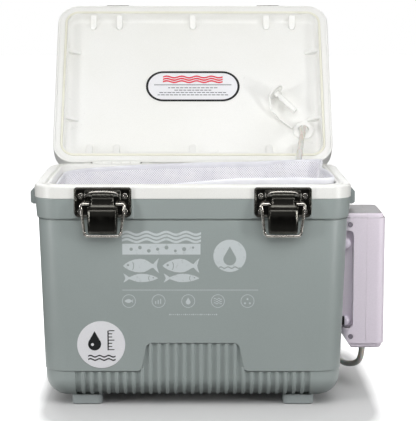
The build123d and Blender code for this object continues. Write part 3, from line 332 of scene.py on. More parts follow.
plastics = {
    "grey_plastic": {"base": paint(160, 169, 167), "drift": paint(156, 165, 163), "roughness": 0.36,
                     "depth": 0.00004, "wornColor": paint(171, 178, 176), "wear": 0.3,
                     "wearRadius": 0.0018, "soften": 0.0012,
                     "fixed": {"Specular IOR Level": 0.65}},
    "foot_plastic": {"base": paint(164, 171, 171), "drift": paint(158, 166, 166), "roughness": 0.55,
                     "wornColor": paint(164, 170, 168), "wear": 0.6},
    "white_plastic": {"base": paint(244, 244, 241), "drift": paint(240, 240, 235), "roughness": 0.34,
                      "depth": 0.00002, "wornColor": paint(250, 250, 248), "wear": 0.3, "dust": 0.05,
                      "soften": 0.0009, "fixed": {"Coat Weight": 0.12, "Coat Roughness": 0.25}},
    "gasket_rubber": {"base": paint(240, 239, 224), "drift": paint(233, 231, 214), "roughness": 0.6,
                      "wornColor": paint(246, 245, 236)},
    "lug_plastic": {"base": paint(146, 154, 153), "drift": paint(140, 148, 147), "roughness": 0.45,
                    "wornColor": paint(150, 156, 154), "wear": 0.5},
    # the pump's darker grey top is painted shade
    "pump_plastic": {"base": paint(245, 235, 246), "drift": paint(240, 230, 242), "roughness": 0.38,
                     "paintedTopShade": paint(140, 137, 140), "dust": 0.02,
                     "wornColor": paint(240, 233, 241), "wear": 0.3, "soften": 0.0009,
                     "fixed": {"Coat Weight": 0.1, "Coat Roughness": 0.3}},
    "inner_plastic": {"base": paint(168, 164, 170), "drift": paint(158, 154, 160), "roughness": 0.5},
    "switch_plastic": {"base": paint(58, 58, 62), "drift": paint(48, 48, 52), "roughness": 0.45,
                       "wornColor": paint(96, 96, 100)},
    "pad_rubber": {"base": paint(38, 38, 40), "drift": paint(30, 30, 32), "roughness": 0.75, "depth": 0.00006,
                   "wornColor": paint(60, 60, 62)},
    "hose_rubber": {"base": paint(222, 220, 213), "drift": paint(214, 212, 205), "roughness": 0.3,
                    "dust": 0.05, "wornColor": paint(228, 226, 220),
                    "fixed": {"Coat Weight": 0.3, "Coat Roughness": 0.2,
                              "Subsurface Weight": 0.4, "Subsurface Scale": 0.004}},
    "foam": {"base": paint(232, 222, 186), "drift": paint(222, 208, 166), "roughness": 0.9,
             "grainScale": 420.0, "depth": 0.0004, "driftScale": 30.0},
    "battery": {"base": paint(52, 58, 74), "drift": paint(44, 50, 64), "roughness": 0.35,
                "wornColor": paint(120, 122, 128)},
    "stone": {"base": paint(120, 128, 140), "drift": paint(98, 106, 120), "roughness": 0.95,
              "grainScale": 900.0, "depth": 0.0003, "driftScale": 160.0, "wornColor": paint(150, 156, 164)},
    "sticker": {"base": paint(238, 238, 241), "drift": paint(233, 233, 236), "roughness": 0.45,
                "depth": 0.00001, "wornColor": paint(220, 219, 224),
                "fixed": {"Coat Weight": 0.25, "Coat Roughness": 0.2}},
    # the pump's screw dimples are a darker lilac than its shell: painted shade of their recesses
    "screw_dimple_painted_shade": {"base": paint(150, 142, 154), "drift": paint(140, 132, 144), "roughness": 0.5},
    "bumper_plastic": {"base": paint(219, 211, 224), "drift": paint(212, 204, 218), "roughness": 0.35},
}
metals = {
    "black_metal": {"base": paint(92, 91, 86), "roughness": 0.13, "wornColor": paint(150, 147, 140),
                    "wear": 0.2, "soften": 0.0018},
    "bright_steel": {"base": paint(216, 211, 204), "roughness": 0.1, "wornColor": paint(236, 232, 226)},
    "bail_steel": {"base": paint(232, 227, 219), "roughness": 0.24, "wornColor": paint(244, 240, 234)},
    "screw_steel": {"base": paint(214, 211, 205), "roughness": 0.1, "wornColor": paint(235, 232, 226)},
    "keeper_steel": {"base": paint(236, 235, 232), "roughness": 0.35, "wornColor": paint(245, 244, 242)},
    "steel_pin": {"base": paint(150, 148, 144), "roughness": 0.3, "wornColor": paint(196, 194, 188)},
    "brass": {"base": paint(196, 164, 96), "roughness": 0.3, "wornColor": paint(220, 192, 130)},
}
finishes = {name: mouldedPlastic(name, look) for name, look in plastics.items()}
finishes.update({name: platedMetal(name, look) for name, look in metals.items()})

# finish of each carried-over part, where it isn't simply that of its slot in the record
special = {"pump_shell_screws": "screw_dimple_painted_shade", "pump_bumpers": "bumper_plastic",
           "latch_keepers": "keeper_steel", "latch_bail_left": "bail_steel", "latch_bail_right": "bail_steel"}
for part in frame["record"]["subparts"]:
    node = frame["nodes"][part["node"]]
    finish = finishes.get(special.get(part["node"], part["material_slot"]), finishes["white_plastic"])
    if not node.data.materials:
        node.data.materials.append(finish)
    for slot in node.material_slots:
        slot.material = finish
print("finishes made:", len(finishes))


# ---- helpers for new pieces
def addPiece(name, points, faces, material, body=None, smoothFaces=True):
    mesh = bpy.data.meshes.new(name)
    mesh.from_pydata([tuple(p) for p in points], [], faces)
    mesh.validate()
    mesh.update()
    piece = bpy.data.objects.new(name, mesh)
    bpy.context.scene.collection.objects.link(piece)
    mesh.materials.append(material)
    mesh.polygons.foreach_set("use_smooth", [smoothFaces] * len(mesh.polygons))
    if body:
        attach(piece, body)
    return piece


def applyModifiers(piece):
    evaluated = piece.evaluated_get(bpy.context.evaluated_depsgraph_get())
    piece.data = bpy.data.meshes.new_from_object(evaluated)
    piece.modifiers.clear()


def gridFaces(rows, columns, closed=False):
    faces = []
    for row in range(rows - 1):
        for column in range(columns if closed else columns - 1):
            a, b = row * columns + column, row * columns + (column + 1) % columns
            faces.append((a, b, b + columns, a + columns))
    return faces


def endCaps(count, sides):
    return [tuple(range(sides))[::-1], tuple(range(count - sides, count))]


def splinePoints(name, route):
    # the route as one smooth curve, read back as points
    curve = bpy.data.curves.new(name, "CURVE")
    curve.dimensions = "3D"
    curve.resolution_u = 12
    line = curve.splines.new("NURBS")
    line.points.add(len(route) - 1)
    for point, place in zip(line.points, route):
        point.co = (*place, 1.0)
    line.order_u = 3
    line.use_endpoint_u = True
    holder = bpy.data.objects.new(name, curve)
    bpy.context.scene.collection.objects.link(holder)
    bpy.context.view_layer.update()
    evaluated = holder.evaluated_get(bpy.context.evaluated_depsgraph_get())
    mesh = bpy.data.meshes.new_from_object(evaluated)
    points = [v.co.copy() for v in mesh.vertices]
    bpy.data.objects.remove(holder)
    return points


def tubeAlong(name, points, radius, sides, material):
    # round tube with closed ends, its rings turned as little as possible from one to the next
    rings = []
    across = None
    for index, point in enumerate(points):
        ahead = points[min(index + 1, len(points) - 1)] - points[max(index - 1, 0)]
        ahead.normalize()
        if across is None:
            across = ahead.orthogonal().normalized()
        across = (across - ahead * across.dot(ahead)).normalized()
        other = ahead.cross(across)
        for step in range(sides):
            angle = 2 * math.pi * step / sides
            rings.append(point + (across * math.cos(angle) + other * math.sin(angle)) * radius)
    faces = gridFaces(len(points), sides, closed=True) + endCaps(len(rings), sides)
    return addPiece(name, rings, faces, material)


# ---- airline: one tube in two free lengths, pushed on the pump's nozzle and held by the lid's grommet
airline = {"radius": 3.175, "sides": 20, "outerLength": 0.373, "innerLength": 0.231}
grommetX, grommetY = 124.0, 58.0
shutLid = {"panel": 234.3, "top": 251.3}
outerFace = shutLid["top"] + 1.6
innerFace = shutLid["panel"] - 2.6
outerRoute = [
    spot(176.5, -3, 41.8), spot(176.5, -3, 30.5), spot(171.5, 8, 20.5), spot(161, 28, 16),
    spot(157, 58, 16.5), spot(157.5, 91, 22), spot(151.5, 122, 38), spot(140, 136, 70), spot(131, 143, 112),
    spot(125, 152, 152), spot(122.5, 166, 188), spot(123, 181.5, 215),
    lidSpot(grommetX, grommetY, outerFace + 17),
    lidSpot(grommetX, grommetY, outerFace + 0.05)]
innerRoute = [
    lidSpot(grommetX, grommetY, innerFace - 0.05), lidSpot(grommetX, grommetY, innerFace - 10),
    spot(121, 117.5, 252), spot(117, 94, 239.5), spot(114, 79.3, 223.5), spot(110, 70.5, 194),
    spot(104.5, 61.5, 154), spot(99, 53, 113), spot(94, 46, 75)]


def makeHose(name, route):
    points = splinePoints(name + "Line", route)
    tube = tubeAlong(name, points, airline["radius"] / 1000, airline["sides"],
                     finishes["hose_rubber"])
    return tube, points


outerHose, outerLine = makeHose("outerAirline", outerRoute)
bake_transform(outerHose)
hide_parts("air_hose_outer")

innerHose, innerLine = makeHose("innerAirline", innerRoute)
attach(innerHose, "cooler")
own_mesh(innerHose)
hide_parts("air_hose_inner")
print("airline laid")


# ---- net bag hanging in the tub, with a gathered hem that rides up at the right
netBag = {"levels": 30, "around": 288, "gap": 2.0, "floor": 39.5, "topCorner": 15.0, "foldDepth": 3.4,
          "ease": 1.2, "taper": 3.5, "footFrom": 0.93, "footRun": 0.07, "footDraw": 9.0,
          "sideLength": 0.186, "floorRings": 10, "squashKeep": 0.966}
netHem = {"around": 720, "length": 0.9, "gathers": 330, "inset": 0.4}
tub = {"floor": 36.0, "top": 222.5, "lowHalfWidth": 125.0, "lowHalfDepth": 73.0,
       "highHalfWidth": 141.0, "highHalfDepth": 88.5}
# height of the hem by the place across, on the front wall and on the rear one
frontHem = [(-140, 214.5), (-95, 215.5), (-60, 217.5), (-17, 221.8), (7, 224.2), (46, 227.6), (95, 228.0),
            (140, 227.4)]
backHem = [(-140, 214.7), (-116, 218.1), (-55, 222.0), (8, 224.3), (51, 224.9), (116, 226.4), (143, 226.7)]


def loopSpot(share, halfWidth, halfDepth, corner):
    # point and outward normal on a rounded rectangle, a share of the way round
    flatX, flatY, bend = 2 * (halfWidth - corner), 2 * (halfDepth - corner), math.pi * corner / 2
    run = share % 1.0 * (2 * flatX + 2 * flatY + 4 * bend)
    sides = [(flatX, (1, 0), (0, -1), (-halfWidth + corner, -halfDepth)),
             (flatY, (0, 1), (1, 0), (halfWidth, -halfDepth + corner)),
             (flatX, (-1, 0), (0, 1), (halfWidth - corner, halfDepth)),
             (flatY, (0, -1), (-1, 0), (-halfWidth, halfDepth - corner))]
    for length, (dx, dy), (nx, ny), (x, y) in sides:
        if run <= length:
            return Vector((x + dx * run, y + dy * run)), Vector((nx, ny))
        run -= length
        endX, endY = x + dx * length, y + dy * length
        if run <= bend:
            angle = run / corner
            ahead, aside = math.sin(angle), math.cos(angle)
            outward = Vector((nx * aside + dx * ahead, ny * aside + dy * ahead))
            middle = Vector((endX - nx * corner, endY - ny * corner))
            return middle + outward * corner, outward
        run -= bend
    return Vector((-halfWidth + corner, -halfDepth)), Vector((0, -1))


slackness = {"hemRise": 2.4, "beside": 9, "reach": 34, "reachLost": 10, "ridgeZ": 204, "ridgeX": 55,
             "ridgeSlope": 0.267, "ridgeDepth": 2.6, "ridgeWidth": 2.6, "sideDepth": 5.0,
             "sideMiddle": 18, "sideReach": 55}


def hemHeight(x, y):
    share = ramp(y, -80, 160)
    slack = slackness["hemRise"] * ramp(x, 70, 40) * ramp(y, 20, 40)
    return between(frontHem, x) * (1 - share) + between(backHem, x) * share + slack


# furthest back that the bag reaches in front of the airline and its stone, and where they hang, by height
airlineFront = [(84, 33.0), (113, 46.0), (154, 54.5), (194, 63.5), (223, 72.0), (230, 75.0)]
airlineAcross = [(75, 94), (113, 99), (154, 104.5), (194, 110), (223, 114), (230, 115)]


def drape(place, z):
    # the rear wall passes in front of the airline, and the right wall hangs a little slack
    reach = slackness["reach"] - slackness["reachLost"] * ramp(z, 80, 140)
    aside = max(0.0, abs(place.x - between(airlineAcross, z)) - slackness["beside"])
    share = smooth(1 - aside / reach) * ramp(place.y, 5, 25)
    back = place.y - max(0.0, place.y - between(airlineFront, z)) * share
    ridge = z - (slackness["ridgeZ"] + slackness["ridgeSlope"] * (place.x - slackness["ridgeX"]))
    fold = slackness["ridgeDepth"] * math.exp(-(ridge / slackness["ridgeWidth"]) ** 2)
    fold *= ramp(place.x, 20, 40) * ramp(place.y, 30, 20)
    middle = smooth(1 - abs(place.y - slackness["sideMiddle"]) / slackness["sideReach"])
    slack = slackness["sideDepth"] * ramp(place.x, 118, 14) * middle * ramp(z, 150, 60)
    return Vector((place.x - slack, back - fold))


def tubHalf(z, low, high):
    return low + (high - low) * (z - tub["floor"]) / (tub["top"] - tub["floor"])


def netRow(level, share):
    # one point of the bag's side: share of the way round, level from 0 at the hem to 1 at the floor
    inset = netBag["gap"] + netBag["ease"] * smooth(level * 3) + netBag["taper"] * level
    topSpot, _ = loopSpot(share, tub["highHalfWidth"] - inset, tub["highHalfDepth"] - inset,
                          netBag["topCorner"])
    z = hemHeight(topSpot.x, topSpot.y) * (1 - level) + netBag["floor"] * level
    halfWidth = tubHalf(min(z, tub["top"]), tub["lowHalfWidth"], tub["highHalfWidth"]) - inset
    halfDepth = tubHalf(min(z, tub["top"]), tub["lowHalfDepth"], tub["highHalfDepth"]) - inset
    # the foot of the bag draws in over its own rounded edge
    tuck = max(0.0, (level - netBag["footFrom"]) / netBag["footRun"])
    halfWidth -= netBag["footDraw"] * tuck ** 2
    halfDepth -= netBag["footDraw"] * tuck ** 2
    place, outward = loopSpot(share, halfWidth, halfDepth, netBag["topCorner"] - 2 * level)
    place = drape(place, z)
    ease = smooth(level * 5) * (1 - 0.6 * tuck)
    around = share * 2 * math.pi
    fold = noise.noise(Vector((math.cos(around) * 4.2, math.sin(around) * 4.2, level * 1.3)))
    fold += 0.5 * noise.noise(Vector((math.cos(around) * 13, math.sin(around) * 13, 5 + level * 2.2)))
    drawn = max(0.0, 0.6 + fold) * netBag["foldDepth"] * ease + 0.5 * smooth(level * 8)
    place = place - outward * drawn
    return (place.x, place.y, z + 0.8 * fold * ease * (1 - tuck))


def makeNetMaterial(name, look):
    fixed = {"Roughness": 0.75, "Sheen Weight": 0.25, "Sheen Roughness": 0.5}
    material, tree, shader = startMaterial(name, **fixed)
    weave = useGroup(tree, "net", Cell=look["cell"], Thread=look["thread"])
    cloud = cloudNode(tree, ownPlace(tree), 45.0, 3.0)
    tinted = mixColors(tree, spread(tree, cloud, 0.35, 0.65), look["light"], look["dark"])
    tree.links.new(tinted, shader["Base Color"])
    tree.links.new(spread(tree, weave["Cover"], 0.0, 1.0, look["veil"], 1.0), shader["Alpha"])
    bump = addNode(tree, "Bump", (("Distance", look["depth"]), ("Height", weave["Height"])))
    tree.links.new(bump.outputs[0], shader["Normal"])
    return material


netLook = {"cell": 0.0026, "thread": 0.5, "light": paint(249, 248, 252), "dark": paint(241, 240, 247),
           "veil": 0.5, "depth": 0.0004}
hemLook = {"cell": 0.0016, "thread": 0.8, "light": paint(245, 245, 250), "dark": paint(237, 237, 243),
           "veil": 0.9, "depth": 0.0005}
finishes["net_fabric"] = makeNetMaterial("net_fabric", netLook)
finishes["hem_fabric"] = makeNetMaterial("hem_fabric", hemLook)


def setLengthUv(piece, uvs):
    layer = piece.data.uv_layers.new(name="clothLength")
    for loop in piece.data.loops:
        layer.data[loop.index].uv = uvs[loop.vertex_index]


def makeNetBag():
    around, levels = netBag["around"], netBag["levels"]
    perimeter = 4 * (tub["highHalfWidth"] + tub["highHalfDepth"]) / 1000
    points, uvs = [], []
    for row in range(levels + 1):
        level = row / levels
        for column in range(around + 1):
            share = column / around
            points.append(spot(*netRow(level, share % 1.0)))
            uvs.append((share * perimeter, level * netBag["sideLength"]))
    # the floor of the bag closes by shrinking loops, with low wrinkles
    rings = netBag["floorRings"]
    edge = points[-(around + 1):]
    middle = sum(edge, Vector()) / len(edge)
    for ring in range(1, rings + 1):
        keep = 1 - ring / rings
        for column, rim in enumerate(edge):
            place = middle + (rim - middle) * keep
            lift = noise.noise(Vector((place.x * 30, place.y * 30, 2.0))) * 0.0011 * (1 - keep ** 3)
            points.append(Vector((place.x, place.y, spot(0, 0, netBag["floor"]).z + abs(lift) - 0.0006)))
            uvs.append((place.x, place.y))
    faces = gridFaces(levels + 1 + rings, around + 1)
    piece = addPiece("netBag", points, faces, finishes["net_fabric"])
    setLengthUv(piece, uvs)
    return piece


def makeNetHem():
    # doubled band at the mouth, with fine gathers, and a cord's roundness inside its top
    around = netHem["around"]
    profile = [(0.0, -5.6), (-0.35, -4.4), (-0.75, -2.8), (-1.15, -1.1), (-0.9, 0.3), (0.0, 0.9),
               (0.9, 0.4), (1.2, -0.9), (0.8, -2.6), (0.45, -4.2), (0.15, -5.4)]
    points, uvs = [], []
    inset = netBag["gap"] + netHem["inset"]
    halfWidth, halfDepth = tub["highHalfWidth"] - inset, tub["highHalfDepth"] - inset
    for out, up in profile:
        for column in range(around + 1):
            share = column / around % 1.0
            place, outward = loopSpot(share, halfWidth, halfDepth, netBag["topCorner"])
            hemTop = hemHeight(place.x, place.y)
            place = drape(place, hemTop)
            gather = 0.22 * math.sin(share * 2 * math.pi * netHem["gathers"])
            gather += 0.3 * noise.noise(Vector((share * 60, up * 0.3, 0)))
            bulge = out * (1 + 0.25 * gather) + 0.1 * gather
            place = place + outward * bulge
            points.append(spot(place.x, place.y, hemTop + up + 0.1 * gather))
            uvs.append((share * netHem["length"], (out + up) / 1000))
    faces = gridFaces(len(profile), around + 1)
    piece = addPiece("netHem", points, faces, finishes["hem_fabric"])
    setLengthUv(piece, uvs)
    return piece


def settleWithLid(piece):
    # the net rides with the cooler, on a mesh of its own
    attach(piece, "cooler")
    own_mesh(piece)


bag = makeNetBag()
hem = makeNetHem()
for cloth, node in ((bag, "net_bag"), (hem, "net_hem")):
    settleWithLid(cloth)
    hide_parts(node)
print("net bag hung")


# ---- latch levers: pressed pad with chamfered shoulders under a ribbed barrel
lever = {"barrelHalf": 11.0, "barrelRadius": 3.1, "barrelSides": 28, "core": 0.45, "ribs": 5,
         "grooveDepth": 0.3, "grooveHalf": 0.35, "grooveFloor": 0.15,
         "sheet": 1.1, "flange": 2.6, "crown": 0.25,
         # drop below the pin, half width of the face, half width outside, face and shoulder before the pin
         "rows": [(2.0, 10.2, 10.9, 2.6, 1.6), (5.6, 10.2, 10.9, 2.8, 1.7), (8.6, 10.3, 11.1, 3.0, 1.9),
                  (9.9, 10.8, 13.2, 3.4, 2.2), (10.7, 11.0, 14.6, 3.9, 2.6), (13.8, 10.9, 14.85, 7.0, 3.3),
                  (17.5, 11.0, 14.85, 7.6, 3.5), (25.0, 11.1, 14.85, 7.8, 3.6), (31.6, 11.0, 14.6, 7.5, 3.4),
                  (34.6, 10.8, 14.3, 6.6, 3.2), (36.4, 10.5, 13.9, 4.9, 3.0), (37.1, 10.2, 13.4, 3.7, 2.8)]}


def makeLever(name, side, node, body):
    pin = Vector(jointAt[side + "_lever_pivot"]["pos_m"])
    points = []
    for drop, face, outside, front, shoulder in lever["rows"]:
        back = shoulder - lever["flange"]
        crown = front + lever["crown"]
        rounding = [(face + (outside - face) * math.sin(turn), shoulder + (front - shoulder) * math.cos(turn))
                    for turn in (0, math.radians(30), math.radians(58), math.pi / 2)]
        right = [(face * 0.5, crown), *rounding, (outside - 0.1, back)]
        section = [(-across, out) for across, out in right[::-1]] + [(0, crown + 0.1)] + right
        for across, out in section:
            points.append(pin + Vector((across, -out, -drop)) / 1000)
    faces = gridFaces(len(lever["rows"]), len(section))
    piece = addPiece(name, points, faces, finishes["black_metal"])
    thick = piece.modifiers.new("sheet", "SOLIDIFY")
    thick.thickness = lever["sheet"] / 1000
    thick.offset = 1.0
    chamfer = piece.modifiers.new("edges", "BEVEL")
    chamfer.width = 0.00035
    chamfer.segments = 2
    chamfer.limit_method = "ANGLE"
    chamfer.angle_limit = math.radians(24)
    soft = piece.modifiers.new("round", "SUBSURF")
    soft.levels = soft.render_levels = 1
    applyModifiers(piece)
    piece.data.polygons.foreach_set("use_smooth", [True] * len(piece.data.polygons))
    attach(piece, body)
    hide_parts(node)
    barrel = makeBarrel(name + "Barrel", pin)
    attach(barrel, body)
    return piece


def makeBarrel(name, pin):
    # rolled knuckle with shallow ribs around the pin
    half, radius, sides = lever["barrelHalf"], lever["barrelRadius"], lever["barrelSides"]
    core, groove = lever["core"], lever["grooveDepth"]
    wide, narrow = lever["grooveHalf"], lever["grooveFloor"]
    profile = [(-half, radius * core), (-half, radius - groove), (-half + groove, radius)]
    for rib in range(1, lever["ribs"]):
        x = -half + 2 * half * rib / lever["ribs"]
        profile += [(x - wide, radius), (x - narrow, radius - groove),
                    (x + narrow, radius - groove), (x + wide, radius)]
    profile += [(half - groove, radius), (half, radius - groove), (half, radius * core)]
    points = []
    for x, r in profile:
        for step in range(sides):
            angle = 2 * math.pi * step / sides
            points.append(pin + Vector((x, r * math.cos(angle), r * math.sin(angle))) / 1000)
    faces = gridFaces(len(profile), sides, closed=True) + endCaps(len(points), sides)
    return addPiece(name, points, faces, finishes["black_metal"])


def makeHood(name, side):
    # bright spring strip arched over the barrel, its ends flaring down to the pin
    pin = Vector(jointAt[side + "_lever_pivot"]["pos_m"])
    half = [(16.3, -2.0), (16.0, 0.6), (14.6, 2.5), (12.0, 3.8), (8.0, 4.3)]
    arch = [(-x, z) for x, z in half] + [(0, 4.5)] + half[::-1]
    section = [(-0.8, 0.1), (1.4, 0.3), (2.7, 0.1), (3.4, -0.8), (2.6, -1.5), (1.2, -1.1), (-0.8, -0.9)]
    points = [pin + Vector((x, -out, z + lift)) / 1000 for x, z in arch for out, lift in section]
    faces = gridFaces(len(arch), len(section), closed=True) + endCaps(len(points), len(section))
    piece = addPiece(name, points, faces, finishes["bright_steel"])
    soft = piece.modifiers.new("round", "SUBSURF")
    soft.levels = soft.render_levels = 2
    applyModifiers(piece)
    piece.data.polygons.foreach_set("use_smooth", [True] * len(piece.data.polygons))
    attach(piece, "cooler")


for side in ("left", "right"):
    makeLever(side + "Lever", side, "latch_lever_" + side, side + "_lever")
    makeHood(side + "LatchHood", side)
print("latch levers made")


# ---- prints: flat shapes a hair above what they are printed on
def circle(centerX, centerY, radius, count=40, start=0.0, turn=360.0):
    steps = count if turn >= 360 else count + 1
    return [(centerX + radius * math.cos(math.radians(start + turn * i / count)),
             centerY + radius * math.sin(math.radians(start + turn * i / count))) for i in range(steps)]


def bar(x0, y0, x1, y1):
    return [(x0, y0), (x1, y0), (x1, y1), (x0, y1)]


def stadium(centerX, centerY, width, height):
    radius = height / 2
    reach = width / 2 - radius
    right = circle(centerX + reach, centerY, radius, 24, -90, 180)
    return right + circle(centerX - reach, centerY, radius, 24, 90, 180)


def waveBand(x0, x1, y, thick, swing, pitch):
    count = int((x1 - x0) / pitch * 12)
    xs = [x0 + (x1 - x0) * i / count for i in range(count + 1)]
    low = [(x, y + swing * math.sin(2 * math.pi * (x - x0) / pitch) - thick / 2) for x in xs]
    high = [(x, z + thick) for x, z in low]
    return low + high[::-1]


def droplet(centerX, centerY, radius):
    # round foot and a pointed top
    body = circle(centerX, centerY, radius, 30, 145, 250)
    return body + [(centerX, centerY + 2.05 * radius)]


def fishOutline(centerX, centerY, length, height, flip=1):
    # plain side view of a bait fish, from a few rounded stretches
    top = [(-0.5, 0.0), (-0.44, 0.13), (-0.34, 0.28), (-0.18, 0.42), (-0.02, 0.46), (0.1, 0.42), (0.2, 0.3),
           (0.29, 0.16), (0.34, 0.12), (0.42, 0.34), (0.5, 0.5), (0.46, 0.2), (0.44, 0.0)]
    low = [(x, -0.92 * y) for x, y in top[-2:0:-1]]
    return [(centerX + flip * x * length, centerY + y * height) for x, y in top + low]


def makePrint(name, shapes, place, material, body):
    # shapes are (outline, holes) pairs in the print's own plane
    points, faces = [], []
    for outline, holes in shapes:
        loops = [[Vector((x, y, 0)) for x, y in loop] for loop in (outline, *holes)]
        start = len(points)
        for loop in loops:
            points += [place(v.x, v.y) for v in loop]
        for triangle in tessellate_polygon(loops):
            faces.append(tuple(start + i for i in triangle))
    return addPiece(name, points, faces, material, body, smoothFaces=False)


def makeInk(name, look):
    # screen ink: slightly uneven cover with pinholes that show the ground a little
    material, tree, shader = startMaterial(name, Roughness=0.5)
    cloud = cloudNode(tree, ownPlace(tree), 260.0, 5.0, 0.7)
    thin = mathNode(tree, "MULTIPLY", spread(tree, cloud, 0.56, 0.74), look["thin"], True)
    tree.links.new(mixColors(tree, thin, look["ink"], look["ground"]), shader["Base Color"])
    bump = addNode(tree, "Bump", (("Distance", 0.00003), ("Height", cloud)))
    tree.links.new(bump.outputs[0], shader["Normal"])
    return material


inks = {
    "paleInk": {"ink": paint(203, 210, 211), "ground": paint(160, 168, 167), "thin": 0.55},
    "blackInk": {"ink": paint(14, 16, 18), "ground": paint(36, 38, 40), "thin": 0.4},
    "redInk": {"ink": paint(222, 36, 62), "ground": paint(236, 92, 108), "thin": 0.4},
    "greyInk": {"ink": paint(104, 104, 106), "ground": paint(160, 160, 160), "thin": 0.5},
}
inkFinish = {name: makeInk(name, look) for name, look in inks.items()}

wall = {"ledge": 37.5, "halfDepth": 94.6, "lean": 0.0311, "lift": 0.12}


def frontWall(x, z):
    return spot(x, -(wall["halfDepth"] + (z - wall["ledge"]) * wall["lean"] + wall["lift"]), z)


# places of the front print: x across and z up, in millimetres
frontArt = {
    "waves": (168.6, 172.2, 175.8), "panel": (-68.6, 154.7, 7.5, 165.5), "bubbleZ": 160.1,
    "fish": ((-50.5, 143.5, 35, 15.5, 1), (-11.5, 143.5, 36, 15.5, 1),
             (-50.8, 131.3, 34, 9.5, -1), (-11.0, 131.3, 35, 9.5, -1)),
    "disc": (36.0, 153.5, 16.0), "rule": (-69, 119.15, 64, 119.75),
    "signs": (-62.5, -33.5, -4.5, 24.5, 53.5), "signZ": 108.4, "signOut": 6.7, "signIn": 6.1,
    "dots": (-22.4, 94.9), "dotPitch": 1.9, "dotCount": 25,
}


def fishShape(x, z, length, height, flip):
    # a bait fish with its eye and gill slit left open
    eye = circle(x - flip * 0.36 * length, z + 0.05 * height, 0.075 * height, 12)
    gill = []
    for turn in range(-80, 81, 20):
        angle = math.radians(turn)
        across = x - flip * 0.26 * length + 1.6 * math.cos(angle) * flip
        gill.append((across, z + 0.26 * height * math.sin(angle)))
    gill += [(px + 0.7, pz) for px, pz in gill[::-1]]
    return fishOutline(x, z, length, height, flip), [eye, gill]


def signShapes(n, x, z):
    # what stands in each small ring: fish, rising bars, drop, waves, three bubbles
    if n == 0:
        return [(fishOutline(x, z, 8.6, 4.4), [])]
    if n == 1:
        return [(bar(x - 3.2 + 2.4 * k, 105.6, x - 2.3 + 2.4 * k, z + 1.1 * k), []) for k in range(3)]
    if n == 2:
        return [(droplet(x, 107.3, 2.3), [])]
    if n == 3:
        return [(waveBand(x - 4, x + 4, 106.2 + 2.2 * k, 0.8, 0.6, 4.0), []) for k in range(3)]
    return [(circle(x + 2.4 * dx, z + 2.2 * dz, 1.0, 14), []) for dx, dz in ((-1, -1), (1, -1), (0, 0.9))]


def frontPrint():
    # wave band, bubble bar, bait fish, ruled line, round badge, row of small ring signs, dotted foot line
    waves = [(waveBand(-69, 8, z, 2.3, 1.4, 19.2), []) for z in frontArt["waves"]]
    bubbles = []
    for n in range(8):
        size = 1.1 + 0.9 * abs(math.sin(1.7 * n + 0.6))
        bubbles.append(circle(-60 + 8.6 * n, frontArt["bubbleZ"] + 1.9 * math.sin(2.1 * n), size, 18))
    panel = [(bar(*frontArt["panel"]), bubbles)]
    fish = [fishShape(*place) for place in frontArt["fish"]]
    badge = [droplet(36.0, 150.2, 6.2), waveBand(25.5, 46.5, 141.8, 1.2, 0.7, 7.0)]
    disc = [(circle(*frontArt["disc"], 64), badge)]
    rule = [(bar(*frontArt["rule"]), [])]
    z = frontArt["signZ"]
    signs = []
    for n, x in enumerate(frontArt["signs"]):
        signs.append((circle(x, z, frontArt["signOut"], 36), [circle(x, z, frontArt["signIn"], 36)]))
        signs += signShapes(n, x, z)
    dotX, dotZ = frontArt["dots"]
    dots = [(circle(dotX + frontArt["dotPitch"] * n, dotZ, 0.55 if n % 4 else 0.8, 10), [])
            for n in range(frontArt["dotCount"])]
    makePrint("frontPrint", waves + panel + fish + disc + rule + signs + dots, frontWall,
              inkFinish["paleInk"], "cooler")


stickerSpot = {"x": -90.0, "z": 64.5, "lift": 0.42}


def stickerPlane(x, z):
    out = wall["halfDepth"] + (stickerSpot["z"] + z - wall["ledge"]) * wall["lean"]
    return spot(stickerSpot["x"] + x, -(out + stickerSpot["lift"]), stickerSpot["z"] + z)


def stickerPrint():
    # drop, a gauge of level ticks and two waves
    drop = [(droplet(-6.5, 0.6, 6.4), [circle(-8.6, 0.2, 1.5, 18)])]
    gauge = [(bar(6.2, -5.6, 7.4, 14.2), [])]
    for n in range(7):
        tick = 5.6 if n % 3 == 0 else 3.4
        gauge.append((bar(7.4, -5.4 + 3.2 * n, 7.4 + tick, -4.5 + 3.2 * n), []))
    waves = [(waveBand(-13, 14, -11.6 - 3.3 * n, 1.35, 0.8, 9.0), []) for n in range(2)]
    makePrint("stickerPrint", drop + gauge + waves, stickerPlane, inkFinish["blackInk"], "cooler")


label = {"width": 106.6, "height": 39.8, "border": 2.5, "lift": 0.42}


def labelPlane(x, y):
    # y grows towards the top of the open lid, which is the front edge of the shut one
    return lidSpot(x, -y, shutLid["panel"] - label["lift"])


def lidLabelPrint():
    width, height, border = label["width"], label["height"], label["border"]
    ring = [(stadium(0, 0, width, height), [stadium(0, 0, width - 2 * border, height - 2 * border)])]
    makePrint("labelBorder", ring, labelPlane, inkFinish["blackInk"], "lid")
    waves = [(waveBand(-34, 34, 6.0 + 3.1 * n, 1.9, 1.1, 17.0), []) for n in range(3)]
    makePrint("labelWaves", waves, labelPlane, inkFinish["redInk"], "lid")
    rows = [(bar(-44, 1.3, 44, 2.3), [])]
    for row, reach in enumerate((28, 21, 38, 40)):
        x = -reach
        step = 0
        while x < reach:
            dash = 2.4 + 2.2 * abs(math.sin(1.3 * step + row))
            rows.append((bar(x, -2.6 - 3.1 * row, min(x + dash, reach), -1.6 - 3.1 * row), []))
            x += dash + 1.0
            step += 1
    makePrint("labelRows", rows, labelPlane, inkFinish["greyInk"], "lid")


frontPrint()
stickerPrint()
lidLabelPrint()
print("prints placed")

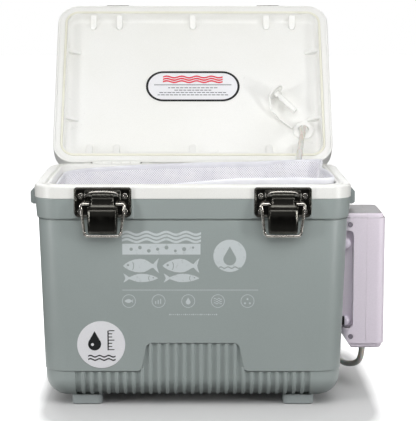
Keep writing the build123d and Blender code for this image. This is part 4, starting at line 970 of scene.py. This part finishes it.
# ---- floor, surroundings and lamps
stageLook = {"floor": paint(228, 228, 228), "bounce": paint(84, 84, 84), "halfSize": 9.0,
             "ambient": 0.06, "ambientFront": 0.30, "ambientTop": 0.14, "ambientBack": 0.22,
             "mirrorShare": 0.4,
             # where the floor's glow fades out near the cooler: the size and shift of the painted shadow zone
             "footprint": (0.146, 0.094), "fadeSide": 0.035, "fadeFront": 0.10, "fadeOff": 0.016,
             "clearFrom": (0.45, 1.0), "lift": 0.9, "skyBehind": (0.93, 0.985),
             "floorBehind": (-0.3, 0.0), "floorBeside": (0.3, 0.2)}
lamps = {
    "keyLamp": {"at": (70, -520, 640), "aim": (0, 0, 170), "size": (0.9, 0.5), "power": 3.2},
    "leftStrip": {"at": (-1060, -620, 280), "aim": (-140, -90, 240), "size": (0.12, 0.52), "power": 5.4},
    "rightStrip": {"at": (1060, -620, 280), "aim": (140, -90, 240), "size": (0.12, 0.52), "power": 5.0},
    "topLamp": {"at": (0, 250, 1500), "aim": (0, 20, 200), "size": (1.1, 0.6), "power": 3.0},
    "backLamp": {"at": (-200, 1150, 980), "aim": (0, 100, 180), "size": (1.4, 0.5), "power": 9.0},
}


def backgroundRays(tree, behind):
    path = addNode(tree, "LightPath").outputs
    mirrored = mathNode(tree, "MAXIMUM", path["Is Glossy Ray"], path["Is Transmission Ray"])
    return mathNode(tree, "MAXIMUM", path["Is Camera Ray"], mathNode(tree, "MULTIPLY", mirrored, behind))


def makeFloor():
    reach = stageLook["halfSize"]
    corners = [(-reach, -reach, 0), (reach, -reach, 0), (reach, reach, 0), (-reach, reach, 0)]
    mesh = bpy.data.meshes.new("studioFloor")
    mesh.from_pydata(corners, [], [(0, 1, 2, 3)])
    floor = bpy.data.objects.new("studioFloor", mesh)
    bpy.context.scene.collection.objects.link(floor)
    floor.location = (coolerCenter.x, coolerCenter.y, -0.0002)
    material, tree, shader = startMaterial("studioFloor", Roughness=0.9, **{"Specular IOR Level": 0.1})
    # away from the cooler the floor turns plain white to the eye; near it the glow fades out over a zone that
    # reaches further in front and is shifted to the right, which paints a darker patch like a cast shadow around
    # the floor's own rendered shadow
    where = addNode(tree, "SeparateXYZ", ((0, addNode(tree, "TexCoord").outputs["Object"]),)).outputs
    outside = []
    halfX, halfY = stageLook["footprint"]
    for axis, off, half, fade in (("X", stageLook["fadeOff"], halfX, stageLook["fadeSide"]),
                                  ("Y", 0.0, halfY, stageLook["fadeFront"])):
        shifted = mathNode(tree, "SUBTRACT", where[axis], off)
        past = mathNode(tree, "SUBTRACT", mathNode(tree, "ABSOLUTE", shifted), half)
        share = mathNode(tree, "DIVIDE", mathNode(tree, "MAXIMUM", past, 0.0), fade)
        outside.append(mathNode(tree, "MULTIPLY", share, share))
    away = mathNode(tree, "SQRT", mathNode(tree, "ADD", outside[0], outside[1]))
    # no glow over the painted shadow zone, full glow past it
    clear = spread(tree, away, *stageLook["clearFrom"], 0.0, stageLook["lift"])
    # what stands behind the cooler is as white in reflections as it is to the eye
    aside = mathNode(tree, "ABSOLUTE", where["X"])
    behind = mathNode(tree, "MULTIPLY", spread(tree, where["Y"], *stageLook["floorBehind"]),
                      spread(tree, aside, *stageLook["floorBeside"]))
    seen = backgroundRays(tree, behind)
    tree.links.new(mixColors(tree, seen, stageLook["bounce"], stageLook["floor"]), shader["Base Color"])
    strength = mathNode(tree, "MULTIPLY", clear, seen)
    glow = addNode(tree, "Emission", (("Color", (1, 1, 1, 1)), ("Strength", strength))).outputs[0]
    total = addNode(tree, "AddShader", ((0, tree.nodes["Principled BSDF"].outputs[0]), (1, glow))).outputs[0]
    tree.links.new(total, tree.nodes["Material Output"].inputs["Surface"])
    mesh.materials.append(material)


def softFrom(tree, part, sign, strength):
    # soft light from one side, strongest straight from it
    toward = mathNode(tree, "MAXIMUM", mathNode(tree, "MULTIPLY", part, sign), 0.0)
    return mathNode(tree, "MULTIPLY", toward, strength)


def makeSurroundings():
    world = bpy.data.worlds.new("paleRoom")
    bpy.context.scene.world = world
    world.use_nodes = True
    tree = world.node_tree
    # softer from the sides and the back than from the front and above
    toward = addNode(tree, "SeparateXYZ", ((0, addNode(tree, "TexCoord").outputs["Generated"]),)).outputs
    seen = backgroundRays(tree, spread(tree, toward["Y"], *stageLook["skyBehind"]))
    front = softFrom(tree, toward["Y"], -1.0, stageLook["ambientFront"])
    above = softFrom(tree, toward["Z"], 1.0, stageLook["ambientTop"])
    back = softFrom(tree, toward["Y"], 1.0, stageLook["ambientBack"])
    soft = mathNode(tree, "ADD", mathNode(tree, "ADD", front, above),
                    mathNode(tree, "ADD", back, stageLook["ambient"]))
    glossy = addNode(tree, "LightPath").outputs["Is Glossy Ray"]
    dimmed = spread(tree, glossy, 0.0, 1.0, 1.0, stageLook["mirrorShare"])
    soft = mathNode(tree, "MULTIPLY", soft, dimmed)
    strength = spread(tree, seen, 0.0, 1.0, soft, 1.0)
    room = tree.nodes["Background"]
    room.inputs["Color"].default_value = (1, 1, 1, 1)
    tree.links.new(strength, room.inputs["Strength"])


def makeLamp(name, look):
    light = bpy.data.lights.new(name, "AREA")
    light.shape = "RECTANGLE"
    light.size, light.size_y = look["size"]
    light.energy = look["power"]
    lamp = bpy.data.objects.new(name, light)
    bpy.context.scene.collection.objects.link(lamp)
    lamp.location = spot(*look["at"])
    lamp.rotation_euler = (spot(*look["aim"]) - lamp.location).to_track_quat("-Z", "Y").to_euler()


makeFloor()
makeSurroundings()
for name, look in lamps.items():
    makeLamp(name, look)
bpy.context.scene.view_settings.view_transform = "Standard"

print("floor, surroundings and lamps set")
